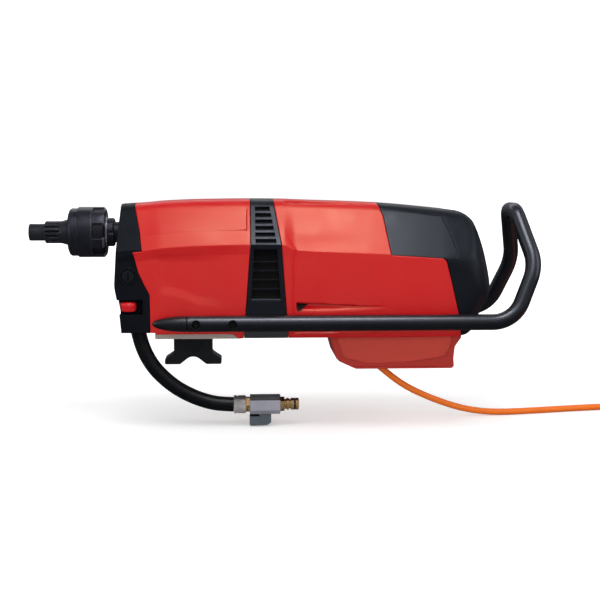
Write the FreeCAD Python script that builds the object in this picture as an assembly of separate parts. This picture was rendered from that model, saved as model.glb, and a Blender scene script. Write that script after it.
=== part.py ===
import FreeCAD, Part
import math
import os

"""Diamond core drill drive unit: motor, gearbox, chuck, carrying handle, water hose and mains lead.

Millimetres, +Z up.  X runs along the spindle, with the chuck at -X and the carrying handle at +X.
The origin is in the middle of the carriage seat under the interface plate, where a drill stand
holds the unit.  Each sub-part is built by its own function and written to parts/NAME.step.
"""

V = FreeCAD.Vector

# ---------------------------------------------------------------- driving dimensions
# body shell: a hull with a flat top, slanted shoulders, a sharp crease and near-upright sides
BODY_TOP_Z = 174.0            # highest line of the hull
BODY_CREASE_Z = 118.0         # height of the crease at its highest
BODY_HALF_WIDTH = 76.0        # at the crease
TOP_HALF_WIDTH = 33.0         # of the flat top
BOTTOM_HALF_WIDTH = 68.5
TOP_ROUND = 26.0              # between the top and the shoulder
CREASE_ROUND = 1.6
BOTTOM_ROUND = 7.0
UNDER_DROP = 12.0             # height of the band just under the crease
LINE_SHARE = 0.70             # place of the shoulder's fold between top edge and crease
SHELL_WALL = 3.5
SEAM_GAP = 0.5                # visible joint between two shells
TONGUE_THICK = 2.0            # strip inside each joint, on which the next shell sits
TONGUE_REACH = 6.0
FRONT_FLOOR_Z = 8.0           # underside of the hull ahead of the interface plate
NOSE_FACE_X = -95.2           # front face of the gear cover
NOSE_CORNER = 8.0
TAIL_X = 385.5                # rear face of the motor cap, where it stands out furthest
TAIL_ROWS = 34                # points of the rear face up and down, and from the middle to one side
TAIL_COLUMNS = 11
TAIL_CUT_LENGTH = 700.0

# drive train
SPINDLE_Z = 131.0
MOTOR_Z = 88.0
MODULE_1 = 1.5                # motor pinion and wheel
TEETH_PINION_1 = 12
TEETH_WHEEL_1 = 40
MODULE_2 = 2.0                # countershaft pinion and spindle gear
TEETH_PINION_2 = 13
TEETH_WHEEL_2 = 29
PRESSURE_ANGLE = math.radians(25.0)
BACKLASH = 0.16               # taken off each tooth at the pitch circle
STAGE_2_X = -62.0             # front face of the spindle gear
STAGE_2_WIDTH = 16.0
STAGE_1_X = -42.0             # front face of the countershaft wheel
STAGE_1_WIDTH = 12.0
SHAFT_CLEARANCE = 0.05        # radial, shaft in a bearing
CASE_X = -24.0                # front face of the gear case plate
CASE_THICK = 12.0

FRONT_BEARING = (25.0, 47.0, 12.0)      # bore, outer diameter, width
REAR_BEARING = (17.0, 40.0, 12.0)
COUNTER_BEARING = (12.0, 32.0, 10.0)
BEARING_BOSS_WALL = 4.5
FRONT_BEARING_X = -88.0
SEAL_WIDTH = 3.5
WATER_BORE = 8.0

# chuck, from its rear forward
NECK_D = 26.8
COLLAR_D = 36.7
COLLAR_X = -99.6
COLLAR_LENGTH = 10.1
SLEEVE_D = 64.4
SLEEVE_LENGTH = 36.0
RING_D = 61.0
RING_LENGTH = 11.5
CONE_D = 34.0
CONE_LENGTH = 10.5
SPLINE_D = 28.6
SPLINE_LENGTH = 20.4
NOSE_D = 21.9
NOSE_LENGTH = 20.1
SLEEVE_CLEARANCE = 0.06

# motor and electronics
HOUSING_WALL = 4.0
MOTOR_SPACE = 9.5             # between the motor housing and the shell beside it
STATOR_D = 2 * (BODY_HALF_WIDTH - SHELL_WALL - MOTOR_SPACE - HOUSING_WALL)
STATOR_LENGTH = 52.0
STATOR_X = 12.0
STATOR_BUILD = 28.0           # from the stator's rim to the rotor, with teeth and windings
ROTOR_D = STATOR_D - 2 * STATOR_BUILD
AIR_GAP = 0.6
WINDING_LENGTH = 14.0
FAN_X = 82.0
FAN_WIDTH = 22.0
FAN_CLEARANCE = 3.0           # between the fan and the motor housing round it
FAN_D = STATOR_D - 2 * FAN_CLEARANCE
BRACKET_X = 112.0
BRACKET_THICK = 12.0

# vent band
BAND_TOP_X = (74.4, 102.6)
BAND_CREASE_X = (74.1, 112.2)
BAND_BOTTOM_X = (64.2, 122.5)
SLOT_COUNT = 6
SLOT_PITCH = 7.85
SLOT_HEIGHT = 5.4
SLOT_TOP_Z = 164.4
SLOT_X = 80.0
LOUVRE_PITCH = 11.4
LOUVRE_TOP_Z = 107.4
LOUVRE_DEPTH = 6.5

# interface plate and mounting claw
PLATE_X = (-45.4, 60.0)
PLATE_HALF_WIDTH = BOTTOM_HALF_WIDTH - 2.5
PLATE_THICK = 6.0
RAIL_HALF_GAP = 28.0          # half the width of the channel between the two seat rails
CHANNEL_DEPTH = 1.0
CHEEK_X = (-4.0, 58.0)
CHEEK_Y = (PLATE_HALF_WIDTH - 8.0, PLATE_HALF_WIDTH - 1.0)
CHEEK_TOP_Z = 34.0
CLAW_HALF_DEPTH = 16.0
CLAW_DROP = 39.3
CLAW_TOP_HALF = 25.0
CLAW_FOOT_HALF = 36.5
CLAW_BOLT_Y = 6.8

# handle
HANDLE_D = 20.0
HANDLE_WALL = 2.5
HANDLE_Y = BODY_HALF_WIDTH + HANDLE_D / 2
HANDLE_Z = 21.3
HANDLE_START_X = -4.0
HANDLE_HEEL_X = 402.5         # where the side runs turn up
HANDLE_WAIST = (433.0, 68.5, 91.0)
HANDLE_TOP = (416.6, 22.5, 158.6)
HANDLE_BENDS = (41.0, 56.0, 21.0)
PLUG_LENGTH = 43.5            # the rounded front ends of the handle
HANDLE_SCREW_X = (6.5, 51.3)
HANDLE_SCREW_D = 6.0
HANDLE_SCREW_HEAD = 10.0

# cable box under the rear
BOX_HALF_WIDTH = 48.0
BOX_WALL = 3.0
BOX_FLOOR_Z = -42.6
BOX_X = (174.5, 343.0)
GLAND_X = 240.0
GLAND_TILT = 42.0             # of the lead's exit from the vertical, in degrees

# water path
BLOCK_X = (-88.0, -66.0)
BLOCK_Y = (-BODY_HALF_WIDTH + 10.8, -BODY_HALF_WIDTH + 34.0)
BLOCK_Z = (53.0, 92.0)
INDICATOR_X = -77.8
INDICATOR_Z = 78.8
INDICATOR_R = 9.8
INDICATOR_FACE_Y = -BODY_HALF_WIDTH + 3.8
KNOB_X = -78.4
KNOB_Y = -BODY_HALF_WIDTH + 14.5
KNOB_TOP_Z = 46.9
KNOB_R = 10.15
KNOB_RIM = 6.4
KNOB_DOME = 6.2
NOTCH_Z = (31.0, 49.5)
NOTCH_X = -60.0
NOTCH_Y = -BODY_HALF_WIDTH + 25.5
HOSE_D = 19.0
HOSE_PORT = (-67.9, -45.0)

# control panel on the far shoulder of the motor cap
PANEL_POINTS = ((236.6, 163.0), (318.6, 151.7), (327.3, 130.6), (333.2, 111.6),
                (333.9, 97.0), (247.5, 97.0))
BUTTON_X = (258.0, 282.0)
BUTTON_SIZE = (18.0, 13.0)
BUTTON_TRAVEL = 1.5
BUTTON_PROUD = 2.2
BUTTON_CLEARANCE = 0.3
CONTROL_SHARE = 0.56          # place of the controls between the top edge and the crease
DISPLAY_X = 307.0
DISPLAY_SIZE = (18.0, 24.0)

# the surface that the hose and the lead lie on, when a stand holds the unit at its seat
GROUND_Z = -115.0

# water hose with its shut-off valve
HOSE_ROUTE = ((-67.9, -45.0, 8.0), (-64.5, -45.0, -7.1), (-58.0, -45.3, -23.4),
              (-48.8, -45.8, -38.4), (-37.0, -46.1, -52.0), (-21.8, -46.0, -65.0),
              (-4.7, -45.6, -75.6), (15.0, -45.1, -83.4), (34.2, -45.0, -86.9), (52.3, -45.0, -87.0))
VALVE_Y = -45.0
VALVE_Z = -87.0
FERRULE_D = 23.0
FERRULE_LENGTH = 15.3
NIPPLE_D = 17.8
NIPPLE_LENGTH = 5.2
VALVE_ACROSS = 23.2
VALVE_LENGTH = 38.5
COUPLING_D = 15.2
COUPLING_LENGTH = 23.8
ORING_R = 5.4                 # floor of the o-ring's groove
LEVER_X = (-19.2, 8.4)        # reach of the lever each side of its stem
LEVER_STEM_X = 18.6           # stem, from the rear end of the nipple
LEVER_DEPTH = 15.2
LEVER_HALF_WIDTH = 6.5
BALL_D = 15.0
VALVE_BORE = 9.0

# mains lead
CORD_D = 8.5
COIL_MIDDLE = (634.0, -21.0)
COIL_COLUMNS = 4
COIL_LAYERS = 4
COIL_MEAN_R = 47.5
COIL_LIFT = 1.2               # the tie passes under the coil
COIL_SLACK = 0.3              # the wound turns lie this much looser than their diameter
TIE_WIDTH = 14.0
TIE_ANGLE = 215.0
COIL_OUTER_TURN_R = COIL_MEAN_R + (COIL_COLUMNS - 1) / 2 * CORD_D
COIL_STUB = 35.0              # straight lead at each end of the coil, clear of its round
PLUG_R = 18.6
PLUG_BODY_LENGTH = 46.0
PIN_D = 4.8
PIN_LENGTH = 19.0
PIN_SPACING = 19.0
PLUG_FIT = 0.05               # round the lead where it enters the plug
CORD_Z = GROUND_Z + CORD_D / 2
COIL_Z = CORD_Z + COIL_LIFT

EPS = 0.02


# ---------------------------------------------------------------- drawing helpers
def place_yz(x):
    return lambda u, v: V(x, u, v)


def place_xz(y):
    return lambda u, v: V(u, y, v)


def place_xy(z):
    return lambda u, v: V(u, v, z)


def rounded_wire(points, radii, place):
    """Closed wire round a polygon, with an arc of the given radius at each corner."""
    count = len(points)
    if not isinstance(radii, (list, tuple)):
        radii = [radii] * count
    starts = []
    ends = []
    middles = []
    for i, (point, radius) in enumerate(zip(points, radii)):
        here = V(point[0], point[1], 0)
        back = V(*points[i - 1], 0) - here
        ahead = V(*points[(i + 1) % count], 0) - here
        inside = back.getAngle(ahead)
        reach = radius / math.tan(inside / 2) if radius else 0.0
        reach = min(reach, 0.48 * back.Length, 0.48 * ahead.Length)
        back.normalize()
        ahead.normalize()
        starts.append(here + back * reach)
        ends.append(here + ahead * reach)
        if radius:
            true_radius = reach * math.tan(inside / 2)
            bisector = back + ahead
            bisector.normalize()
            depth = true_radius / math.sin(inside / 2) - true_radius
            middles.append(here + bisector * depth)
        else:
            middles.append(None)
    edges = []
    for i in range(count):
        if middles[i] is not None:
            arc = Part.Arc(place(starts[i].x, starts[i].y), place(middles[i].x, middles[i].y),
                           place(ends[i].x, ends[i].y))
            edges.append(arc.toShape())
        follow = starts[(i + 1) % count]
        if (follow - ends[i]).Length > 1e-6:
            edges.append(Part.makeLine(place(ends[i].x, ends[i].y), place(follow.x, follow.y)))
    return Part.Wire(edges)


def prism(points, radii, axis, start, end):
    """Polygon with rounded corners, extruded along X, Y or Z from start to end."""
    place = {"x": place_yz, "y": place_xz, "z": place_xy}[axis](start)
    push = {"x": V(1, 0, 0), "y": V(0, 1, 0), "z": V(0, 0, 1)}[axis] * (end - start)
    return Part.Face(rounded_wire(points, radii, place)).extrude(push)


def box(x0, x1, y0, y1, z0, z1):
    return Part.makeBox(x1 - x0, y1 - y0, z1 - z0, V(x0, y0, z0))


def rod(start, end, radius):
    """Cylinder between two points."""
    start = V(*start)
    way = V(*end) - start
    return Part.makeCylinder(radius, way.Length, start, way)


def ring(start, end, outer, inner):
    return rod(start, end, outer).cut(rod(start, end, inner))


def turned_x(profile, y, z):
    """Solid of revolution about a line along X; profile points are (x, radius)."""
    wire = Part.makePolygon([V(x, y, z + r) for x, r in profile] + [V(profile[0][0], y, z + profile[0][1])])
    return Part.Face(wire).revolve(V(0, y, z), V(1, 0, 0), 360)


def join(first, *others):
    return first.multiFuse(list(others)).removeSplitter()


def both_sides(solid):
    """The solid and its mirror image in the XZ plane."""
    return [solid, solid.mirror(V(0, 0, 0), V(0, 1, 0))]


def group(solids):
    return Part.makeCompound(solids)


def bent_path(points, radii):
    """Straight runs joined by tangent arcs, and the radii in use."""
    corners = [V(*p) for p in points]
    edges = []
    used = []
    last = corners[0]
    for i in range(1, len(corners) - 1):
        back = corners[i - 1] - corners[i]
        ahead = corners[i + 1] - corners[i]
        inside = back.getAngle(ahead)
        radius = radii[i - 1] if radii else 0.45 * min(back.Length, ahead.Length) * math.tan(inside / 2)
        reach = radius / math.tan(inside / 2)
        back.normalize()
        ahead.normalize()
        start = corners[i] + back * reach
        end = corners[i] + ahead * reach
        bisector = back + ahead
        bisector.normalize()
        middle = corners[i] + bisector * (radius / math.sin(inside / 2) - radius)
        edges.append(Part.LineSegment(last, start).toShape())
        edges.append(Part.Arc(start, middle, end).toShape())
        used.append(radius)
        last = end
    edges.append(Part.LineSegment(last, corners[-1]).toShape())
    return Part.Wire(edges), used


def swept(path, radius):
    """Round bar along a path of runs and arcs."""
    first = path.Edges[0]
    start = first.valueAt(first.FirstParameter)
    way = first.tangentAt(first.FirstParameter)
    circle = Part.Wire(Part.makeCircle(radius, start, way))
    solid = path.makePipeShell([circle], True, False)
    return solid if solid.Volume > 0 else solid.reversed()


def cord_tube(name, points, diameter):
    """Tube of a free cord: every arc is as large as its two runs allow."""
    path, used = bent_path(points, None)
    tube = swept(path, diameter / 2)
    expected = math.pi * diameter ** 2 / 4 * path.Length
    print(name, "length %.1f" % path.Length, "volume ratio %.4f" % (tube.Volume / expected),
          "radii", " ".join("%.0f" % r for r in used))
    return tube


# ---------------------------------------------------------------- hull of the body
def hull_section(x, top_drop, crease_drop, draw_in, fold, tuck, floor_z, inset):
    """Section wire of the hull at x: eight corners, the same on both sides."""
    top = (TOP_HALF_WIDTH - draw_in / 2, BODY_TOP_Z - top_drop)
    crease = (BODY_HALF_WIDTH - draw_in, BODY_CREASE_Z - crease_drop)
    bottom = (BOTTOM_HALF_WIDTH - draw_in, floor_z)
    slope = math.atan2(top[1] - crease[1], crease[0] - top[0])
    line = (top[0] + (crease[0] - top[0]) * LINE_SHARE + fold * math.sin(slope),
            top[1] + (crease[1] - top[1]) * LINE_SHARE + fold * math.cos(slope))
    share = UNDER_DROP / (crease[1] - bottom[1])
    under = (crease[0] + (bottom[0] - crease[0]) * share - tuck, crease[1] - UNDER_DROP)
    right = [top, line, crease, under, bottom]
    radii = [TOP_ROUND, 0, CREASE_ROUND, 0, BOTTOM_ROUND]
    loop = right + [(-y, z) for y, z in reversed(right)]
    rounds = radii + list(reversed(radii))
    if inset:
        loop = inset_loop(loop, inset)
        rounds = [max(r - inset, 0.6) if r else 0 for r in rounds]
    return rounded_wire(loop, rounds, place_yz(x))


def inset_loop(points, inset):
    """Polygon moved inwards by a constant distance (points run clockwise seen along +X)."""
    moved = []
    count = len(points)
    for i, (y, z) in enumerate(points):
        back = V(y - points[i - 1][0], z - points[i - 1][1], 0)
        ahead = V(points[(i + 1) % count][0] - y, points[(i + 1) % count][1] - z, 0)
        back.normalize()
        ahead.normalize()
        normal = V(back.y + ahead.y, -back.x - ahead.x, 0)
        normal.normalize()
        scale = inset / (normal.x * back.y - normal.y * back.x)
        moved.append((y + normal.x * scale, z + normal.y * scale))
    return moved


# x, drop of the top, drop of the crease, draw-in of the sides, fold, tuck under the crease
HULL_STATIONS = (
    (-104.0, 7.5, 11.0, 1.5, 0.5, 1.5),
    (-58.0, 4.6, 7.2, 0.3, 1.4, 3.4),
    (-37.0, 2.6, 4.1, 0.0, 1.6, 3.6),
    (12.0, 0.6, 1.2, 0.0, 1.6, 3.4),
    (73.0, 0.0, 0.0, 0.0, 1.0, 2.0),
    (113.0, 0.3, 0.2, 0.0, 0.6, 1.2),
    (131.0, 1.0, 6.5, 0.2, 0.0, 0.2),
    (231.0, 4.7, 11.8, 0.4, 0.0, 0.0),
    (315.0, 12.0, 17.4, 2.4, 0.0, 0.0),
    (347.0, 16.0, 19.6, 5.0, 0.0, 0.0),
    (400.0, 24.0, 23.0, 12.0, 0.0, 0.0),
)


# the rear face: height and place of its middle line, then distance from the middle and how far it falls back
TAIL_LINE = ((-30.0, -42.0), (-8.0, -30.0), (5.0, -23.0), (16.0, -18.3), (27.4, -13.3), (36.5, -8.8),
             (43.0, -5.2), (50.0, -2.0), (58.7, -0.1), (67.8, -0.7), (78.0, -2.3), (90.0, -4.7),
             (101.7, -7.4), (113.4, -10.6), (125.0, -14.4), (139.4, -20.3), (147.0, -24.6), (153.0, -29.6),
             (156.8, -34.6), (159.4, -41.2), (161.2, -49.8), (162.7, -62.0), (164.9, -84.0), (169.0, -116.0),
             (177.0, -152.0), (192.0, -205.0))
TAIL_BOW = ((0.0, 0.0), (15.0, 0.5), (30.0, 2.7), (45.0, 7.3), (52.0, 10.5), (60.0, 15.5), (64.0, 19.2),
            (68.0, 25.3), (71.0, 32.2), (74.0, 41.8), (78.0, 57.0), (90.0, 105.0))


def nose_profile(inset):
    """Side view of the front: keeps everything behind the bulged front face."""
    points = ((NOSE_FACE_X + 7.6 + inset, BODY_TOP_Z + 6), (NOSE_FACE_X + inset, 66.0),
              (NOSE_FACE_X + 5.6 + inset, 36.0), (NOSE_FACE_X + 8.6 + inset, FRONT_FLOOR_Z - 6),
              (TAIL_X + 30, FRONT_FLOOR_Z - 6), (TAIL_X + 30, BODY_TOP_Z + 6))
    return prism(points, [0, 40, 20, 0, 0, 0], "y", -BODY_HALF_WIDTH - 10, BODY_HALF_WIDTH + 10)


def nose_plan(inset):
    """Plan of the front corners."""
    half = BODY_HALF_WIDTH + 10
    side = BODY_HALF_WIDTH - 3.0 - inset
    points = ((NOSE_FACE_X - 2 + inset, -side), (NOSE_FACE_X + 30, -side - 1.5), (NOSE_FACE_X + 32, -half),
              (TAIL_X + 30, -half), (TAIL_X + 30, half), (NOSE_FACE_X + 32, half),
              (NOSE_FACE_X + 30, side + 1.5), (NOSE_FACE_X - 2 + inset, side))
    return prism(points, [NOSE_CORNER, 0, 0, 0, 0, 0, 0, NOSE_CORNER], "z", -20, BODY_TOP_Z + 20)


def even_points(points, count):
    """Points at even lengths along a smooth curve through the given ones."""
    curve = Part.BSplineCurve()
    curve.interpolate([V(*point) for point in points])
    return curve.toShape().discretize(Number=count)


def tail_cutter(inset):
    """Keeps everything ahead of the rear face: a round back, bowed from side to side."""
    lift = even_points([(x, 0, z) for z, x in TAIL_LINE], TAIL_ROWS)
    half = even_points([(-x, y, 0) for y, x in TAIL_BOW], TAIL_COLUMNS)
    bow = [V(p.x, -p.y, 0) for p in reversed(half[1:])] + half
    rows = [[V(TAIL_X + p.x + q.x, q.y, p.z) for q in bow] for p in lift]
    face_points = []
    for i, row in enumerate(rows):
        line = []
        for j, point in enumerate(row):
            up = rows[min(i + 1, len(rows) - 1)][j] - rows[max(i - 1, 0)][j]
            across = row[min(j + 1, len(row) - 1)] - row[max(j - 1, 0)]
            out = across.cross(up)
            out.normalize()
            line.append(point - out * inset)
        face_points.append(line)
    surface = Part.BSplineSurface()
    surface.interpolate(face_points)
    return surface.toShape().extrude(V(-TAIL_CUT_LENGTH, 0, 0))


def hull(inset):
    """The whole body as one solid, moved inwards by inset."""
    wires = [hull_section(x, top, crease, draw, fold, tuck, 0.0, inset)
             for x, top, crease, draw, fold, tuck in HULL_STATIONS]
    solid = Part.makeLoft(wires, True, True)
    for cutter in (nose_profile(inset), nose_plan(inset), tail_cutter(inset)):
        solid = solid.common(cutter)
    low = box(NOSE_FACE_X - 20, PLATE_X[0] + inset, -90, 90, -20, FRONT_FLOOR_Z + inset)
    middle = box(PLATE_X[0] + inset - 1, PLATE_X[1] + inset, -90, 90,
                 -20, PLATE_THICK + inset)
    return solid.cut(low).cut(middle)


COVER_ZONE = ((-72.0, 200.0), (-71.6, 168.0), (-63.6, 133.6), (-60.3, 110.8), (-71.7, 109.6),
              (-65.4, 84.4), (-58.2, 68.2), (-51.7, 56.3), (-50.9, -20.0))
CAP_ZONE = ((234.6, 200.0), (236.0, 169.0), (242.4, 152.0), (249.4, 104.8), (315.4, 100.2),
            (319.2, 96.4), (326.2, 70.8), (336.6, 28.7), (342.6, -20.0))


def zone(points, far_x, shift):
    """Everything between a seam line in side view and far_x, the seam moved by shift."""
    line = [(x + shift, z) for x, z in points]
    loop = line + [(far_x, points[-1][1]), (far_x, points[0][1])]
    return prism(loop, 0, "y", -110, 110)


def seam_tongue(lining, points, before, after):
    """Strip of the lining that crosses a seam, to carry the next shell."""
    return lining.common(zone(points, TAIL_X + 40, before)).cut(zone(points, TAIL_X + 40, after))


def band_zone(grow):
    points = ((BAND_TOP_X[0] - grow, 200), (BAND_CREASE_X[0] - grow, BODY_CREASE_Z),
              (BAND_BOTTOM_X[0] - grow, -20), (BAND_BOTTOM_X[1] + grow, -20),
              (BAND_CREASE_X[1] + grow, BODY_CREASE_Z), (BAND_TOP_X[1] + grow, BODY_TOP_Z),
              (BAND_TOP_X[1] - 5 + grow, 200))
    return prism(points, 0, "y", -110, 110)


def counter_centre():
    """Countershaft axis (y, z): where both gear pairs have their centre distances."""
    first = MODULE_1 * (TEETH_PINION_1 + TEETH_WHEEL_1) / 2
    second = MODULE_2 * (TEETH_PINION_2 + TEETH_WHEEL_2) / 2
    span = SPINDLE_Z - MOTOR_Z
    rise = (first ** 2 - second ** 2 + span ** 2) / (2 * span)
    return math.sqrt(first ** 2 - rise ** 2), MOTOR_Z + rise


COUNTER_Y, COUNTER_Z = counter_centre()
AXES = {"spindle": (0.0, SPINDLE_Z), "counter": (COUNTER_Y, COUNTER_Z), "motor": (0.0, MOTOR_Z)}
CHUCK_REAR_X = COLLAR_X - COLLAR_LENGTH
SLEEVE_X = CHUCK_REAR_X - SLEEVE_LENGTH - 0.3
RING_X = SLEEVE_X - RING_LENGTH - 0.3
CONE_X = RING_X - CONE_LENGTH
SPLINE_X = CONE_X - SPLINE_LENGTH
SPINDLE_TIP_X = SPLINE_X - NOSE_LENGTH


# ---------------------------------------------------------------- housing shells
def panel_prism(shrink, side):
    """Room of the shoulder panel on one side (-1 near, +1 far)."""
    middle = (sum(x for x, z in PANEL_POINTS) / len(PANEL_POINTS),
              sum(z for x, z in PANEL_POINTS) / len(PANEL_POINTS))
    points = []
    for x, z in PANEL_POINTS:
        away = V(x - middle[0], z - middle[1], 0)
        size = away.Length
        points.append((middle[0] + away.x * (size - shrink) / size,
                       middle[1] + away.y * (size - shrink) / size))
    start, end = (-110, -20) if side < 0 else (20, 110)
    return prism(points, 3.0, "y", start, end)


def tapered_scoop(x0, x1, y0, y1, z0, z1, tip_z):
    """Wedge that is deepest at x0 and runs out to a point at x1."""
    mouth = Part.makePolygon([V(x0, y0, z0), V(x0, y1, z0), V(x0, y1, z1), V(x0, y0, z1), V(x0, y0, z0)])
    tip = Part.makePolygon([V(x1, y0, tip_z - 0.4), V(x1, y0 + 0.5 * (1 if y1 > y0 else -1), tip_z - 0.4),
                            V(x1, y0 + 0.5 * (1 if y1 > y0 else -1), tip_z + 0.4), V(x1, y0, tip_z + 0.4),
                            V(x1, y0, tip_z - 0.4)])
    return Part.makeLoft([mouth, tip], True, True)


def make_shells():
    outer = hull(0.0)
    inner = hull(SHELL_WALL)
    shell = outer.cut(inner)
    lining = inner.cut(hull(SHELL_WALL + TONGUE_THICK))
    parts = {}

    # front gear cover
    cover = outer.common(zone(COVER_ZONE, NOSE_FACE_X - 40, -SEAM_GAP / 2)).cut(inner)
    solids = [cover, seam_tongue(lining, COVER_ZONE, -TONGUE_REACH, TONGUE_REACH)]
    for key, size, x0, x1 in (("spindle", FRONT_BEARING, FRONT_BEARING_X - 3.5,
                               FRONT_BEARING_X + FRONT_BEARING[2]),
                              ("counter", COUNTER_BEARING, FRONT_BEARING_X - 3.5,
                               FRONT_BEARING_X + COUNTER_BEARING[2])):
        y, z = AXES[key]
        solids.append(rod((x0, y, z), (x1, y, z), size[1] / 2 + BEARING_BOSS_WALL))
    # a wall round the notch of the flow knob, and seats for the water block and the indicator
    notch = box(NOSE_FACE_X - 5, NOTCH_X, -90, NOTCH_Y, NOTCH_Z[0], NOTCH_Z[1])
    notch_walls = box(NOSE_FACE_X - 5, NOTCH_X + SHELL_WALL, -90, NOTCH_Y + SHELL_WALL,
                      NOTCH_Z[0] - SHELL_WALL, NOTCH_Z[1] + SHELL_WALL).common(outer)
    solids.append(notch_walls)
    indicator_boss = rod((INDICATOR_X, INDICATOR_FACE_Y, INDICATOR_Z), (INDICATOR_X, BLOCK_Y[0], INDICATOR_Z),
                         INDICATOR_R + 0.9)
    solids.append(indicator_boss)
    for y, z in COVER_SCREWS:
        solids.append(rod((NOSE_FACE_X + 9, y, z), (CASE_X, y, z), 6.0))
    cover = join(*solids)
    cover = cover.cut(notch)
    y, z = AXES["spindle"]
    cover = cover.cut(rod((NOSE_FACE_X - 5, y, z), (0, y, z), NECK_D / 2 + 0.4))
    cover = cover.cut(rod((FRONT_BEARING_X - SEAL_WIDTH, y, z), (0, y, z), SEAL_D / 2))
    cover = cover.cut(rod((FRONT_BEARING_X, y, z), (0, y, z), FRONT_BEARING[1] / 2))
    y, z = AXES["counter"]
    cover = cover.cut(rod((FRONT_BEARING_X, y, z), (0, y, z), COUNTER_BEARING[1] / 2))
    for y, z in COVER_SCREWS:
        cover = cover.cut(rod((NOSE_FACE_X - 5, y, z), (0, y, z), 3.2))
        cover = cover.cut(rod((NOSE_FACE_X - 5, y, z), (NOSE_FACE_X + 12.0, y, z), 5.4))
    cover = cover.cut(rod((INDICATOR_X, -90, INDICATOR_Z), (INDICATOR_X, BLOCK_Y[0] + 1, INDICATOR_Z),
                          INDICATOR_R - 1.4))
    cover = cover.cut(rod((INDICATOR_X, -90, INDICATOR_Z), (INDICATOR_X, INDICATOR_FACE_Y + 3.0, INDICATOR_Z),
                          INDICATOR_R - 0.6))
    cover = cover.cut(rod((KNOB_X, KNOB_Y, 0), (KNOB_X, KNOB_Y, BLOCK_Z[0] + 1), STEM_D / 2 + 0.3)
                      .common(box(-200, 0, -90, 0, NOTCH_Z[1] - 5, BLOCK_Z[0] + 2)))
    cover = cover.cut(rod((HOSE_PORT[0], HOSE_PORT[1], FRONT_FLOOR_Z - 5),
                          (HOSE_PORT[0], HOSE_PORT[1], FRONT_FLOOR_Z + SHELL_WALL + 1), HOSE_D / 2 + 0.9))
    parts["gear_cover"] = cover

    # red front hood
    front = shell.cut(zone(COVER_ZONE, NOSE_FACE_X - 40, SEAM_GAP / 2))
    front = front.common(box(NOSE_FACE_X, BAND_TOP_X[1] - 14, -100, 100, -30, 200))
    front = front.cut(band_zone(SEAM_GAP))
    front = front.cut(box(PLATE_X[0] + SHELL_WALL + 0.5, PLATE_X[1] - 1.5, -CHEEK_Y[1] - 0.4,
                          CHEEK_Y[1] + 0.4,
                          -5, PLATE_THICK + SHELL_WALL + 1))
    scoop = side_scoop()
    for one in both_sides(scoop):
        front = front.cut(one)
    for x in HANDLE_SCREW_X:
        front = front.cut(rod((x, -90, HANDLE_Z), (x, 90, HANDLE_Z), STANDOFF_D / 2 + 0.3))
    parts["front_hood"] = front

    # black vent band
    band_lining = lining.common(band_zone(TONGUE_REACH)).cut(band_zone(-TONGUE_REACH))
    band = shell.common(band_zone(0.0)).fuse(band_lining)
    band = band.removeSplitter()
    for i in range(SLOT_COUNT):
        top = SLOT_TOP_Z - i * SLOT_PITCH
        reach = (BAND_CREASE_X[1] - BAND_TOP_X[1]) * (BODY_TOP_Z - top) / (BODY_TOP_Z - BODY_CREASE_Z)
        right = BAND_TOP_X[1] - 6.5 + reach
        inward = TOP_HALF_WIDTH - 8
        slot = box(SLOT_X, right, -100, -inward, top - SLOT_HEIGHT, top)
        for one in both_sides(slot):
            band = band.cut(one)
    for i in range(SLOT_COUNT - 1):
        ledge = LOUVRE_TOP_Z - (i + 1) * LOUVRE_PITCH
        share = (BODY_CREASE_Z - ledge) / BODY_CREASE_Z
        right = BAND_CREASE_X[1] - 5.5 + share * (BAND_BOTTOM_X[1] - BAND_CREASE_X[1])
        left = SLOT_X - 2 - share * 4
        surface = BODY_HALF_WIDTH
        wedge = Part.makePolygon([V(left, -surface - 1, ledge),
                                  V(left, -surface + LOUVRE_DEPTH + 2.0, ledge + 1.0),
                                  V(left, -surface - 1, ledge + LOUVRE_PITCH - 0.6),
                                  V(left, -surface - 1, ledge)])
        cutter = Part.Face(wedge).extrude(V(right - left, 0, 0))
        for one in both_sides(cutter):
            band = band.cut(one)
    parts["vent_band"] = band

    # red rear hood with its two tapering side scoops
    rear = shell.common(box(BAND_TOP_X[1] - 10, TAIL_X + 10, -110, 110, -30, 200))
    rear = rear.cut(band_zone(SEAM_GAP)).cut(zone(CAP_ZONE, TAIL_X + 30, -SEAM_GAP / 2))
    side_groove = tapered_scoop(130.5, 250.0, -BODY_HALF_WIDTH - 2, -BODY_HALF_WIDTH + 14, 34.6, 44.8, 38.6)
    side_back = tapered_scoop(127.5, 250.0, -BODY_HALF_WIDTH - 2, -BODY_HALF_WIDTH + 16.5, 32.2, 47.2, 38.6)
    for back, groove in zip(both_sides(side_back), both_sides(side_groove)):
        rear = rear.fuse(back.common(outer)).cut(groove)
    rear = rear.removeSplitter()
    rear = rear.cut(box(BOX_X[0] + 20, BOX_X[1] - 30, -30, 30, -1, SHELL_WALL + 1))
    parts["rear_hood"] = rear

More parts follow.
